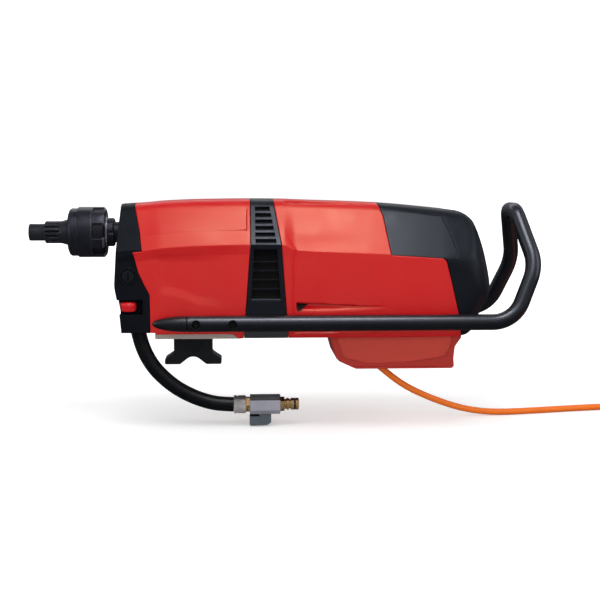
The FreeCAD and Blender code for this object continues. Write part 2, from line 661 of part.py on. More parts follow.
    # black motor cap with a separate panel on each shoulder
    cap = shell.common(zone(CAP_ZONE, TAIL_X + 30, SEAM_GAP / 2))
    backing = lining.common(zone(CAP_ZONE, TAIL_X + 30, -TONGUE_REACH)).cut(box(345, 420, -100, 100, -30,
                                                                                200))
    backing = backing.cut(box(200, 350, -100, 100, -30, BODY_CREASE_Z - 30))
    for side in (-1, 1):
        cap = cap.cut(panel_prism(0.0, side))
    room = local_box((BUTTON_X[0] + DISPLAY_X) / 2, (DISPLAY_X - BUTTON_X[0] + 36, 33), -20, 20, 4.0)
    cap = join(cap, backing.cut(room))
    parts["motor_cap"] = cap
    near = shell.common(zone(CAP_ZONE, TAIL_X + 30, SEAM_GAP / 2 + 0.3)).common(panel_prism(0.35, -1))
    far = shell.common(zone(CAP_ZONE, TAIL_X + 30, SEAM_GAP / 2 + 0.3)).common(panel_prism(0.35, 1))
    parts["side_panel"] = near
    parts["control_panel"] = far
    return parts


COVER_SCREWS = ((-36.0, 146.0), (36.0, 146.0), (54.0, 24.0), (-20.0, 24.0))
SEAL_D = 40.0
STEM_D = 6.0
PIPE_D = 5.6
PIPE_BORE = 3.8
STANDOFF_D = 14.0


def side_scoop():
    """Shallow hollow in the flank of the front hood, deepest in front."""
    side = BODY_HALF_WIDTH - 5.2
    plan = prism(((-46, -side - 6), (-46, -side + 0.6), (-30, -side + 1.9), (58, -side - 1.4),
                  (58, -side - 6)),
                 0, "z", 40, 112)
    outline = prism(((-44, 100), (58, 106), (58, 46), (20, 44), (-36, 58)), (14, 2, 2, 30, 14), "y", -90, -60)
    return plan.common(outline)


# ---------------------------------------------------------------- gears, shafts and bearings
def involute_gear(teeth, module, width, x, centre, turn):
    """Spur gear about a line along X; a tooth points along the angle turn (from +Y towards +Z)."""
    pitch_r = module * teeth / 2
    base_r = pitch_r * math.cos(PRESSURE_ANGLE)
    tip_r = pitch_r + module
    root_r = pitch_r - 1.25 * module
    half_pitch = math.pi / (2 * teeth) - BACKLASH / (2 * pitch_r)
    spread = math.tan(PRESSURE_ANGLE) - PRESSURE_ANGLE

    def flank(radius):
        if radius <= base_r:
            return half_pitch + spread
        angle = math.acos(base_r / radius)
        return half_pitch + spread - (math.tan(angle) - angle)

    def point(radius, angle):
        return V(x, centre[0] + radius * math.cos(angle), centre[1] + radius * math.sin(angle))

    steps = [max(base_r, root_r) + (tip_r - max(base_r, root_r)) * (i / 4) ** 1.3 for i in range(5)]
    edges = []
    for tooth in range(teeth):
        middle = turn + 2 * math.pi * tooth / teeth
        following = middle + 2 * math.pi / teeth
        rising = [point(r, middle - flank(r)) for r in steps]
        falling = [point(r, middle + flank(r)) for r in reversed(steps)]
        if base_r > root_r + 1e-3:
            edges.append(Part.makeLine(point(root_r, middle - flank(base_r)), rising[0]))
        curve = Part.BSplineCurve()
        curve.interpolate(rising)
        edges.append(curve.toShape())
        edges.append(Part.Arc(rising[-1], point(tip_r, middle), falling[0]).toShape())
        curve = Part.BSplineCurve()
        curve.interpolate(falling)
        edges.append(curve.toShape())
        if base_r > root_r + 1e-3:
            edges.append(Part.makeLine(falling[-1], point(root_r, middle + flank(base_r))))
        root_from = point(root_r, middle + flank(max(base_r, root_r)))
        root_to = point(root_r, following - flank(max(base_r, root_r)))
        edges.append(Part.Arc(root_from, point(root_r, (middle + following) / 2), root_to).toShape())
    face = Part.Face(Part.Wire(edges))
    return face.extrude(V(width, 0, 0))


def bearing(x, centre, size):
    """Ball bearing as one closed ring with a shield groove in each face."""
    bore, outer, width = size
    y, z = centre
    body = ring((x, y, z), (x + width, y, z), outer / 2, bore / 2 + SHAFT_CLEARANCE)
    mid = (bore + outer) / 4
    for start in (x - 1, x + width - 0.8):
        body = body.cut(ring((start, y, z), (start + 1.8, y, z), mid + 3.2, mid - 3.2))
    return body


def direction(a, b):
    return math.atan2(b[1] - a[1], b[0] - a[0])


def make_drive():
    parts = {}
    counter = AXES["counter"]
    spindle_axis = AXES["spindle"]
    motor = AXES["motor"]
    case_end = CASE_X + CASE_THICK

    # spindle: hollow for the flushing water, stepped from the chuck to the rear bearing
    profile = [(CHUCK_REAR_X - SLEEVE_LENGTH + 6, 12.0), (CHUCK_REAR_X, 12.0), (CHUCK_REAR_X, COLLAR_D / 2),
               (COLLAR_X - 1.6, COLLAR_D / 2), (COLLAR_X, COLLAR_D / 2 - 1.6), (COLLAR_X, NECK_D / 2),
               (FRONT_BEARING_X - 0.4, NECK_D / 2), (FRONT_BEARING_X - 0.4, FRONT_BEARING[0] / 2),
               (STAGE_2_X + STAGE_2_WIDTH, FRONT_BEARING[0] / 2), (STAGE_2_X + STAGE_2_WIDTH, 9.6),
               (STAGE_2_X + STAGE_2_WIDTH + 2, REAR_BEARING[0] / 2), (case_end - 0.5, REAR_BEARING[0] / 2),
               (case_end - 0.5, 0.0), (CHUCK_REAR_X - SLEEVE_LENGTH + 6, 0.0)]
    spindle = turned_x(profile, *spindle_axis)
    for k in range(6):
        a = math.radians(60 * k)
        y = (COLLAR_D / 2 + 1.2) * math.cos(a)
        z = SPINDLE_Z + (COLLAR_D / 2 + 1.2) * math.sin(a)
        spindle = spindle.cut(rod((COLLAR_X + 1, y, z), (COLLAR_X - 6, y, z), 3.0))
    bore_end = STAGE_2_X + 2
    spindle = spindle.cut(rod((-300, 0, SPINDLE_Z), (bore_end, 0, SPINDLE_Z), WATER_BORE / 2))
    spindle = spindle.cut(rod((WATER_RING_X + 5.5, 0, SPINDLE_Z - 20),
                              (WATER_RING_X + 5.5, 0, SPINDLE_Z + 20), 2.0))
    parts["spindle"] = spindle
    toward = direction(counter, spindle_axis)
    wheel = involute_gear(TEETH_WHEEL_2, MODULE_2, STAGE_2_WIDTH, STAGE_2_X, spindle_axis,
                          toward + math.pi + math.pi / TEETH_WHEEL_2)
    wheel = wheel.cut(rod((STAGE_2_X - 1, *spindle_axis), (0, *spindle_axis), FRONT_BEARING[0] / 2))
    for side in (STAGE_2_X - 1, STAGE_2_X + STAGE_2_WIDTH - 3):
        wheel = wheel.cut(ring((side, *spindle_axis), (side + 4, *spindle_axis), 24.0, 17.5))
    parts["spindle_gear"] = wheel

    # countershaft with its pinion in one piece, and the large wheel pressed on it
    pinion = involute_gear(TEETH_PINION_2, MODULE_2, STAGE_2_WIDTH, STAGE_2_X, counter, toward)
    r = COUNTER_BEARING[0] / 2
    shaft = turned_x([(FRONT_BEARING_X + 0.5, 0), (FRONT_BEARING_X + 0.5, r),
                      (FRONT_BEARING_X + COUNTER_BEARING[2] + 0.5, r),
                      (FRONT_BEARING_X + COUNTER_BEARING[2] + 0.5, r + 2), (CASE_X - 0.5, r + 2),
                      (CASE_X - 0.5, r),
                      (case_end - 1, r), (case_end - 1, 0)], *counter)
    parts["countershaft"] = join(shaft, pinion)
    meet = direction(motor, counter)
    wheel = involute_gear(TEETH_WHEEL_1, MODULE_1, STAGE_1_WIDTH, STAGE_1_X, counter,
                          meet + math.pi + math.pi / TEETH_WHEEL_1)
    wheel = wheel.cut(rod((STAGE_1_X - 1, *counter), (0, *counter), r + 2))
    for k in range(6):
        a = math.radians(60 * k)
        y = counter[0] + 19 * math.cos(a)
        z = counter[1] + 19 * math.sin(a)
        wheel = wheel.cut(rod((STAGE_1_X - 1, y, z), (0, y, z), 5.0))
    parts["counter_wheel"] = wheel

    # rotor: shaft with the motor pinion cut in it, and a lamination pack
    shaft_r = REAR_BEARING[0] / 2
    pinion = involute_gear(TEETH_PINION_1, MODULE_1, STAGE_1_WIDTH + 4, STAGE_1_X - 2, motor, meet)
    bracket_end = BRACKET_X + BRACKET_THICK
    shaft = turned_x([(STAGE_1_X + STAGE_1_WIDTH + 2, 0), (STAGE_1_X + STAGE_1_WIDTH + 2, 7.0),
                      (CASE_X - 1.5, 7.0),
                      (CASE_X - 1.5, shaft_r), (case_end + 2, shaft_r), (case_end + 2, shaft_r + 3),
                      (BRACKET_X - 2, shaft_r + 3), (BRACKET_X - 2, COUNTER_BEARING[0] / 2),
                      (bracket_end - 1, COUNTER_BEARING[0] / 2),
                      (bracket_end - 1, 0)], *motor)
    parts["rotor_shaft"] = join(shaft, pinion)
    pack = rod((STATOR_X, *motor), (STATOR_X + STATOR_LENGTH, *motor), ROTOR_D / 2)
    pack = pack.cut(rod((STATOR_X - 1, *motor), (STATOR_X + STATOR_LENGTH + 1, *motor), shaft_r + 3))
    for k in range(8):
        a = math.radians(45 * k)
        groove = rod((STATOR_X - 1, ROTOR_D / 2 * math.cos(a), MOTOR_Z + ROTOR_D / 2 * math.sin(a)),
                     (STATOR_X + STATOR_LENGTH + 1, ROTOR_D / 2 * math.cos(a),
                      MOTOR_Z + ROTOR_D / 2 * math.sin(a)), 3.0)
        pack = pack.cut(groove)
    parts["rotor_core"] = pack
    parts["cooling_fan"] = fan()

    # stator with its teeth, and one winding head at each end
    core = ring((STATOR_X, *motor), (STATOR_X + STATOR_LENGTH, *motor), STATOR_D / 2, STATOR_D / 2 - 10)
    teeth = []
    for k in range(12):
        tooth = box(STATOR_X, STATOR_X + STATOR_LENGTH, ROTOR_D / 2 + AIR_GAP + 1, STATOR_D / 2 - 8, -4, 4)
        shoe = box(STATOR_X, STATOR_X + STATOR_LENGTH, ROTOR_D / 2 + AIR_GAP, ROTOR_D / 2 + AIR_GAP + 3.5,
                   -6.5, 6.5)
        for one in (tooth, shoe):
            one.rotate(V(0, 0, 0), V(1, 0, 0), 30 * k)
            one.translate(V(0, 0, MOTOR_Z))
            teeth.append(one)
    bore = rod((STATOR_X - 1, *motor), (STATOR_X + STATOR_LENGTH + 1, *motor), ROTOR_D / 2 + AIR_GAP)
    parts["stator_core"] = join(core, *teeth).cut(bore)
    heads = []
    for x in (STATOR_X - WINDING_LENGTH, STATOR_X + STATOR_LENGTH):
        heads.append(turned_x([(x, ROTOR_D / 2 + 6), (x + 4, ROTOR_D / 2 + 3),
                               (x + WINDING_LENGTH, ROTOR_D / 2 + 3),
                               (x + WINDING_LENGTH, STATOR_D / 2 - 9), (x + 4, STATOR_D / 2 - 6),
                               (x, STATOR_D / 2 - 9)], *motor) if x < STATOR_X else
                     turned_x([(x, ROTOR_D / 2 + 3), (x + WINDING_LENGTH - 4, ROTOR_D / 2 + 3),
                               (x + WINDING_LENGTH, ROTOR_D / 2 + 6), (x + WINDING_LENGTH, STATOR_D / 2 - 9),
                               (x + WINDING_LENGTH - 4, STATOR_D / 2 - 6), (x, STATOR_D / 2 - 9)], *motor))
    parts["stator_windings"] = group(heads)

    # bearings and seal
    parts["shaft_bearings"] = group([bearing(FRONT_BEARING_X, spindle_axis, FRONT_BEARING),
                                     bearing(CASE_X, spindle_axis, REAR_BEARING),
                                     bearing(FRONT_BEARING_X, counter, COUNTER_BEARING),
                                     bearing(CASE_X + 2, counter, COUNTER_BEARING),
                                     bearing(CASE_X, motor, REAR_BEARING),
                                     bearing(BRACKET_X, motor, COUNTER_BEARING)])
    parts["shaft_seal"] = ring((FRONT_BEARING_X - SEAL_WIDTH, *spindle_axis),
                               (FRONT_BEARING_X, *spindle_axis),
                               SEAL_D / 2, NECK_D / 2 + SHAFT_CLEARANCE)
    return parts


WATER_RING_X = FRONT_BEARING_X + FRONT_BEARING[2]


def fan():
    """Radial cooling fan: a back plate, a hub and curved blades."""
    hub_r = REAR_BEARING[0] / 2 + 3
    y, z = AXES["motor"]
    solids = [ring((FAN_X, y, z), (FAN_X + 2.5, y, z), FAN_D / 2, hub_r),
              ring((FAN_X, y, z), (FAN_X + FAN_WIDTH, y, z), hub_r + 5, hub_r)]
    for k in range(11):
        blade = Part.makePolygon([V(FAN_X + 1, hub_r + 3, -1), V(FAN_X + 1, 34, 4),
                                  V(FAN_X + 1, FAN_D / 2 - 1, 1),
                                  V(FAN_X + 1, FAN_D / 2 - 1, 3), V(FAN_X + 1, 34, 6.2),
                                  V(FAN_X + 1, hub_r + 3, 1),
                                  V(FAN_X + 1, hub_r + 3, -1)])
        solid = Part.Face(blade).extrude(V(FAN_WIDTH - 1, 0, 0))
        solid.rotate(V(0, 0, 0), V(1, 0, 0), 360 / 11 * k)
        solid.translate(V(0, y, z))
        solids.append(solid)
    return join(*solids)


def make_frame():
    """Gear case plate, motor housing, rear bearing bracket, interface plate and mounting claw."""
    parts = {}
    counter = AXES["counter"]
    spindle_axis = AXES["spindle"]
    motor = AXES["motor"]
    case_end = CASE_X + CASE_THICK
    plate = hull(SHELL_WALL).common(box(CASE_X, case_end, -100, 100, -30, 200))
    foot = box(CASE_X, case_end, -50, 50, PLATE_THICK, PLATE_THICK + 12)
    case = join(plate, foot)
    case = case.cut(rod((CASE_X - 1, *spindle_axis), (case_end + 1, *spindle_axis), REAR_BEARING[1] / 2))
    case = case.cut(rod((CASE_X - 1, *motor), (case_end + 1, *motor), REAR_BEARING[1] / 2))
    case = case.cut(rod((CASE_X - 1, *counter), (CASE_X + 2 + COUNTER_BEARING[2], *counter),
                        COUNTER_BEARING[1] / 2))
    for y, z in COVER_SCREWS:
        case = case.cut(rod((CASE_X - 1, y, z), (case_end - 2, y, z), 3.0))
    for y in (-CASE_SCREW_Y, CASE_SCREW_Y):
        case = case.cut(rod((CASE_X + CASE_THICK / 2, y, -5),
                            (CASE_X + CASE_THICK / 2, y, PLATE_THICK + 12), 3.0))
    parts["gear_case"] = case

    outer_r = STATOR_D / 2 + HOUSING_WALL
    tube = ring((case_end, *motor), (BRACKET_X + BRACKET_THICK, *motor), outer_r, STATOR_D / 2)
    for k in range(8):
        window = box(FAN_X - 1, FAN_X + FAN_WIDTH + 2, STATOR_D / 2 - 5, outer_r + 5, -14, 14)
        window.rotate(V(0, 0, 0), V(1, 0, 0), 45 * k)
        window.translate(V(0, 0, MOTOR_Z))
        tube = tube.cut(window)
    parts["motor_housing"] = tube
    end = BRACKET_X + BRACKET_THICK
    bracket = rod((BRACKET_X, *motor), (end, *motor), STATOR_D / 2)
    bracket = bracket.cut(rod((BRACKET_X - 1, *motor), (BRACKET_X + COUNTER_BEARING[2], *motor),
                              COUNTER_BEARING[1] / 2))
    bracket = bracket.cut(rod((BRACKET_X - 1, *motor), (end + 1, *motor), COUNTER_BEARING[1] / 2 - 4))
    for k in range(6):
        a = math.radians(60 * k)
        bracket = bracket.cut(rod((BRACKET_X - 1, 38 * math.cos(a), MOTOR_Z + 38 * math.sin(a)),
                                  (end + 1, 38 * math.cos(a), MOTOR_Z + 38 * math.sin(a)), 11.0))
    parts["rear_bracket"] = bracket

    plate = box(PLATE_X[0], PLATE_X[1], -PLATE_HALF_WIDTH, PLATE_HALF_WIDTH, 0, PLATE_THICK)
    plate = plate.cut(box(PLATE_X[0] - 1, PLATE_X[1] + 1, -RAIL_HALF_GAP, RAIL_HALF_GAP, -1, CHANNEL_DEPTH))
    cheek = prism(((CHEEK_X[0], PLATE_THICK - 0.5), (CHEEK_X[1], PLATE_THICK - 0.5),
                   (CHEEK_X[1], CHEEK_TOP_Z),
                   (CHEEK_X[0], CHEEK_TOP_Z)), (0, 0, 8, 8), "y", CHEEK_Y[0], CHEEK_Y[1])
    plate = join(plate, *both_sides(cheek))
    for x in HANDLE_SCREW_X:
        plate = plate.cut(rod((x, -90, HANDLE_Z), (x, 90, HANDLE_Z), HANDLE_SCREW_D / 2))
    for y in (-CLAW_BOLT_Y, CLAW_BOLT_Y):
        plate = plate.cut(rod((0, y, -5), (0, y, 20), CLAW_BOLT_D / 2))
    for y in (-CASE_SCREW_Y, CASE_SCREW_Y):
        x = CASE_X + CASE_THICK / 2
        plate = plate.cut(rod((x, y, -5), (x, y, 20), 3.0))
        plate = plate.cut(rod((x, y, -5), (x, y, CHANNEL_DEPTH + 3.2), 5.2))
    parts["interface_plate"] = plate

    claw = prism(((-CLAW_TOP_HALF, CHANNEL_DEPTH), (-CLAW_TOP_HALF + 0.4, -24.6), (-CLAW_FOOT_HALF, -32.6),
                  (-CLAW_FOOT_HALF, -CLAW_DROP), (-17.0, -CLAW_DROP), (0.0, -26.0), (17.0, -CLAW_DROP),
                  (CLAW_FOOT_HALF, -CLAW_DROP), (CLAW_FOOT_HALF, -32.6), (CLAW_TOP_HALF - 0.4, -24.6),
                  (CLAW_TOP_HALF, CHANNEL_DEPTH)), (0, 5, 3, 2, 3, 13, 3, 2, 2, 5, 0), "y",
                 -CLAW_HALF_DEPTH, CLAW_HALF_DEPTH)
    recess = prism(((-13.4, CHANNEL_DEPTH + 1), (-13.2, -13), (-9.0, -24.0), (9.0, -24.0), (13.2, -13),
                    (13.4, CHANNEL_DEPTH + 1)), (0, 5, 4, 4, 5, 0), "y", -CLAW_HALF_DEPTH - 1,
                    -CLAW_HALF_DEPTH + 4.0)
    claw = claw.cut(recess)
    for y in (-CLAW_BOLT_Y, CLAW_BOLT_Y):
        claw = claw.cut(rod((0, y, -17), (0, y, 5), CLAW_BOLT_D / 2))
    parts["mounting_claw"] = claw
    bolts = []
    for y in (-CLAW_BOLT_Y, CLAW_BOLT_Y):
        bolts.append(screw((0, y, PLATE_THICK), (0, 0, -1), CLAW_BOLT_D, 13.0, 5.0, 22.0))
    for y in (-CASE_SCREW_Y, CASE_SCREW_Y):
        bolts.append(screw((CASE_X + CASE_THICK / 2, y, CHANNEL_DEPTH + 3.2), (0, 0, 1), 6.0, 10.0, 3.0,
                           12.0))
    screws = []
    for y, z in COVER_SCREWS:
        screws.append(screw((NOSE_FACE_X + 12.0, y, z), (1, 0, 0), 6.0, 10.0, 5.5,
                            CASE_X - NOSE_FACE_X - 4.0))
    return parts, bolts + screws


CASE_SCREW_Y = 22.0
CLAW_BOLT_D = 8.0


def screw(seat, way, diameter, head_d, head_height, length):
    """Socket-head screw: seat is the underside of its head, way points down the shank."""
    seat = V(*seat)
    way = V(*way)
    shank = Part.makeCylinder(diameter / 2, length, seat, way)
    head = Part.makeCylinder(head_d / 2, head_height, seat - way * head_height, way)
    across = diameter * 0.8
    hexagon = [V(across / math.sqrt(3) * math.cos(math.radians(60 * k)),
                 across / math.sqrt(3) * math.sin(math.radians(60 * k)), 0) for k in range(7)]
    socket = Part.Face(Part.makePolygon(hexagon)).extrude(V(0, 0, head_height * 0.6))
    socket.Placement = FreeCAD.Placement(seat - way * head_height, FreeCAD.Rotation(V(0, 0, 1), way))
    return shank.fuse(head).removeSplitter().cut(socket)


# ---------------------------------------------------------------- chuck
def make_chuck():
    parts = {}
    core_r = SPLINE_D / 2
    # body of the chuck: carries the sleeve and the drive nose
    inner_r = SLEEVE_D / 2 - 9.0
    sleeve = turned_x([(CHUCK_REAR_X - 0.3, inner_r + SLEEVE_CLEARANCE),
                       (CHUCK_REAR_X - 0.3, SLEEVE_D / 2 - 3.4),
                       (CHUCK_REAR_X - 3.4, SLEEVE_D / 2), (SLEEVE_X + 1.0, SLEEVE_D / 2),
                       (SLEEVE_X + 0.2, SLEEVE_D / 2 - 0.8), (SLEEVE_X + 0.2, inner_r + SLEEVE_CLEARANCE)],
                      0.0, SPINDLE_Z)
    for k in range(9):
        a = math.radians(40 * k + 20)
        flute = rod((SLEEVE_X + 17, (SLEEVE_D / 2 + 6.2) * math.cos(a),
                     SPINDLE_Z + (SLEEVE_D / 2 + 6.2) * math.sin(a)),
                    (CHUCK_REAR_X + 4, (SLEEVE_D / 2 + 4.2) * math.cos(a),
                     SPINDLE_Z + (SLEEVE_D / 2 + 4.2) * math.sin(a)),
                    7.4)
        sleeve = sleeve.cut(flute)
    parts["chuck_sleeve"] = sleeve
    body = turned_x([(CHUCK_REAR_X, 12.0), (CHUCK_REAR_X, inner_r), (SLEEVE_X - 0.1, inner_r),
                     (SLEEVE_X - 0.1, RING_D / 2), (RING_X + 3.8, RING_D / 2),
                     (RING_X + 1.4, RING_D / 2 - 1.6),
                     (RING_X, RING_D / 2 - 5.0), (RING_X, CONE_D / 2), (RING_X + 1.0, CONE_D / 2),
                     (RING_X + 1.0, 12.0)], 0.0, SPINDLE_Z)
    parts["chuck_body"] = body

    # drive nose: cone, splined seat and centring spigot, bored for water
    nose = turned_x([(RING_X + 1.0, 0), (RING_X + 1.0, CONE_D / 2), (CONE_X, core_r),
                     (SPLINE_X + 1.2, core_r),
                     (SPLINE_X, core_r - 1.8), (SPLINE_X, NOSE_D / 2), (SPINDLE_TIP_X + 1.2, NOSE_D / 2),
                     (SPINDLE_TIP_X, NOSE_D / 2 - 1.2), (SPINDLE_TIP_X, 0)], 0.0, SPINDLE_Z)
    shank = rod((RING_X + 1.0, 0, SPINDLE_Z), (CHUCK_REAR_X - SLEEVE_LENGTH + 6, 0, SPINDLE_Z), 12.0)
    nose = join(nose, shank)
    for k in range(6):
        a = math.radians(60 * k + 30)
        groove = box(SPLINE_X - 1, CONE_X - 3, core_r - 2.0, core_r + 2, -2.6, 2.6)
        groove.rotate(V(0, 0, 0), V(1, 0, 0), math.degrees(a))
        groove.translate(V(0, 0, SPINDLE_Z))
        nose = nose.cut(groove)
    nose = nose.cut(rod((-400, 0, SPINDLE_Z), (0, 0, SPINDLE_Z), WATER_BORE / 2))
    parts["drive_nose"] = nose
    return parts


# ---------------------------------------------------------------- handle
def make_handle():
    parts = {}
    points = [(HANDLE_START_X, -HANDLE_Y, HANDLE_Z), (HANDLE_HEEL_X, -HANDLE_Y, HANDLE_Z),
              (HANDLE_WAIST[0], -HANDLE_WAIST[1], HANDLE_WAIST[2]),
              (HANDLE_TOP[0], -HANDLE_TOP[1], HANDLE_TOP[2])]
    points = points + [(x, -y, z) for x, y, z in reversed(points)]
    bends = list(HANDLE_BENDS) + list(reversed(HANDLE_BENDS))
    path, used = bent_path(points, bends)
    outer = swept(path, HANDLE_D / 2)
    inner = swept(path, HANDLE_D / 2 - HANDLE_WALL)
    tube = outer.cut(inner)
    for x in HANDLE_SCREW_X:
        for side in (-1, 1):
            tube = tube.cut(rod((x, side * HANDLE_Y, HANDLE_Z), (x, side * (HANDLE_Y + 20), HANDLE_Z),
                                HANDLE_SCREW_HEAD / 2 + 0.4))
            tube = tube.cut(rod((x, side * (HANDLE_Y - 20), HANDLE_Z), (x, side * HANDLE_Y, HANDLE_Z),
                                HANDLE_SCREW_D / 2 + 0.2))
    parts["handle_tube"] = tube
    print("handle bends", [round(r) for r in used], "length %.0f" % path.Length)

    r = HANDLE_D / 2
    tip = HANDLE_START_X - PLUG_LENGTH
    wire = Part.Wire([Part.Arc(V(tip, 0, 0), V(tip + PLUG_LENGTH * 0.38, 0, r * 0.78),
                               V(HANDLE_START_X, 0, r)).toShape(),
                      Part.makeLine(V(HANDLE_START_X, 0, r), V(HANDLE_START_X, 0, r - HANDLE_WALL)),
                      Part.makeLine(V(HANDLE_START_X, 0, r - HANDLE_WALL),
                                    V(HANDLE_START_X + 5, 0, r - HANDLE_WALL)),
                      Part.makeLine(V(HANDLE_START_X + 5, 0, r - HANDLE_WALL), V(HANDLE_START_X + 5, 0, 0)),
                      Part.makeLine(V(HANDLE_START_X + 5, 0, 0), V(tip, 0, 0))])
    plug = Part.Face(wire).revolve(V(0, 0, 0), V(1, 0, 0), 360)
    if plug.Volume < 0:
        plug = plug.reversed()
    plug.translate(V(0, -HANDLE_Y, HANDLE_Z))
    parts["handle_end_plugs"] = group(both_sides(plug))

    spacers = []
    screws = []
    for x in HANDLE_SCREW_X:
        spacer = ring((x, -CHEEK_Y[1], HANDLE_Z), (x, -HANDLE_Y, HANDLE_Z), STANDOFF_D / 2,
                      HANDLE_SCREW_D / 2 + 0.2)
        spacer = spacer.cut(rod((x - 30, -HANDLE_Y, HANDLE_Z), (x + 30, -HANDLE_Y, HANDLE_Z), HANDLE_D / 2))
        spacers.extend(both_sides(spacer))
        seat_y = HANDLE_Y - math.sqrt((HANDLE_D / 2 - HANDLE_WALL) ** 2 - (HANDLE_SCREW_HEAD / 2) ** 2)
        for side in (-1, 1):
            screws.append(screw((x, side * seat_y, HANDLE_Z), (0, -side, 0), HANDLE_SCREW_D,
                                HANDLE_SCREW_HEAD,
                                6.0, seat_y - CHEEK_Y[0] + 2))
    parts["handle_spacers"] = group(spacers)
    parts["handle_screws"] = group(screws)
    return parts


# ---------------------------------------------------------------- electronics and controls
def shoulder_point(x, share):
    """Point on the far shoulder at x, a share of the way from the top edge to the crease."""
    before, after = HULL_STATIONS[7], HULL_STATIONS[8]
    part = (x - before[0]) / (after[0] - before[0])
    top_drop, crease_drop, draw_in = (before[i] + (after[i] - before[i]) * part for i in (1, 2, 3))
    top = V(x, TOP_HALF_WIDTH - draw_in / 2, BODY_TOP_Z - top_drop)
    crease = V(x, BODY_HALF_WIDTH - draw_in, BODY_CREASE_Z - crease_drop)
    return top + (crease - top) * share


def shoulder_frame(x):
    """Placement on the far shoulder at x: local z points out of the surface, local x runs along X."""
    middle = shoulder_point(x, CONTROL_SHARE)
    along = shoulder_point(x + 5, CONTROL_SHARE) - shoulder_point(x - 5, CONTROL_SHARE)
    up = shoulder_point(x, 0.2) - shoulder_point(x, 0.9)
    out = up.cross(along)
    return FreeCAD.Placement(middle, FreeCAD.Rotation(along, out.cross(along), out, "ZXY"))


def local_box(x, size, low, high, corner):
    """Block with rounded corners standing on the far shoulder, from depth low to height high."""
    w, h = size
    block = prism(((-w / 2, -h / 2), (w / 2, -h / 2), (w / 2, h / 2), (-w / 2, h / 2)), corner, "z", low,
                  high)
    block.Placement = shoulder_frame(x)
    return block


def make_controls(shells):
    parts = {}
    panel = shells["control_panel"]
    for name, x in zip(("on_button", "off_button"), BUTTON_X):
        w, h = BUTTON_SIZE
        cap = local_box(x, BUTTON_SIZE, -SHELL_WALL - 1.0, BUTTON_PROUD, 2.5)
        flange = local_box(x, (w + 4, h + 4), -SHELL_WALL - 3.6, -SHELL_WALL - 0.4, 3.0)
        parts[name] = join(cap, flange)
        grow = 2 * BUTTON_CLEARANCE
        panel = panel.cut(local_box(x, (w + grow, h + grow), -20, 20, 2.5 + BUTTON_CLEARANCE))
    window = local_box(DISPLAY_X, DISPLAY_SIZE, -SHELL_WALL, 0.4, 2.0)
    panel = panel.cut(local_box(DISPLAY_X, DISPLAY_SIZE, -20, 20, 2.0))
    parts["display_window"] = window
    shells["control_panel"] = panel
    block = local_box((BUTTON_X[0] + DISPLAY_X) / 2, (DISPLAY_X - BUTTON_X[0] + 32, 30),
                      -SHELL_WALL - 10.0, -SHELL_WALL - 4.0 - BUTTON_TRAVEL - 0.3, 3.0)
    posts = []
    for x in (BUTTON_X[0] - BUTTON_SIZE[0] / 2 - 4.3, DISPLAY_X - DISPLAY_SIZE[0] / 2 - 2.4):
        posts.append(local_box(x, (2.0, 24.0), -SHELL_WALL - 6.5, -SHELL_WALL + 0.02, 0.8))
    parts["switch_block"] = join(block, *posts)
    return parts


def make_electronics():
    parts = {}
    base_z = SHELL_WALL
    sink = box(146, 236, -46, 46, base_z + 4, base_z + 10)
    fins = [box(146, 236, -46 + 8.2 * k, -44 + 8.2 * k, base_z + 9, base_z + 34) for k in range(12)]
    feet = [rod((x, y, base_z), (x, y, base_z + 5), 5.0) for x in (154, 228) for y in (-36, 36)]
    sink = join(sink, *fins, *feet)
    parts["heat_sink"] = sink
    board_z = base_z + 34
    board = box(140, 252, -50, 50, board_z, board_z + 2)
    chips = [box(150 + 26 * k, 168 + 26 * k, -40, -24, board_z + 1.5, board_z + 7) for k in range(4)]
    chips += [box(150, 186, 4, 34, board_z + 1.5, board_z + 26),
              box(196, 214, 6, 30, board_z + 1.5, board_z + 18)]
    cans = [rod((236, y, board_z + 1), (236, y, board_z + 42), 12.0) for y in (-32, 0, 32)]
    parts["power_board"] = join(board, *chips, *cans)
    return parts


# ---------------------------------------------------------------- cable box
def box_outline(inset):
    return ((BOX_X[0] + inset, 0.0), (BOX_X[0] + 8.2 + inset, -28.2 + inset * 0.6),
            (BOX_X[0] + 12.2 + inset, -32.4 + inset * 0.8),
            (BOX_X[0] + 34.0 + inset * 0.5, BOX_FLOOR_Z + inset),
            (BOX_X[1] - 8.6 - inset, BOX_FLOOR_Z + inset), (BOX_X[1] - 9.6 - inset, -29.0),
            (BOX_X[1] - 8.0 - inset, -14.0), (BOX_X[1] - inset, -3.0), (BOX_X[1] - inset, 0.0))


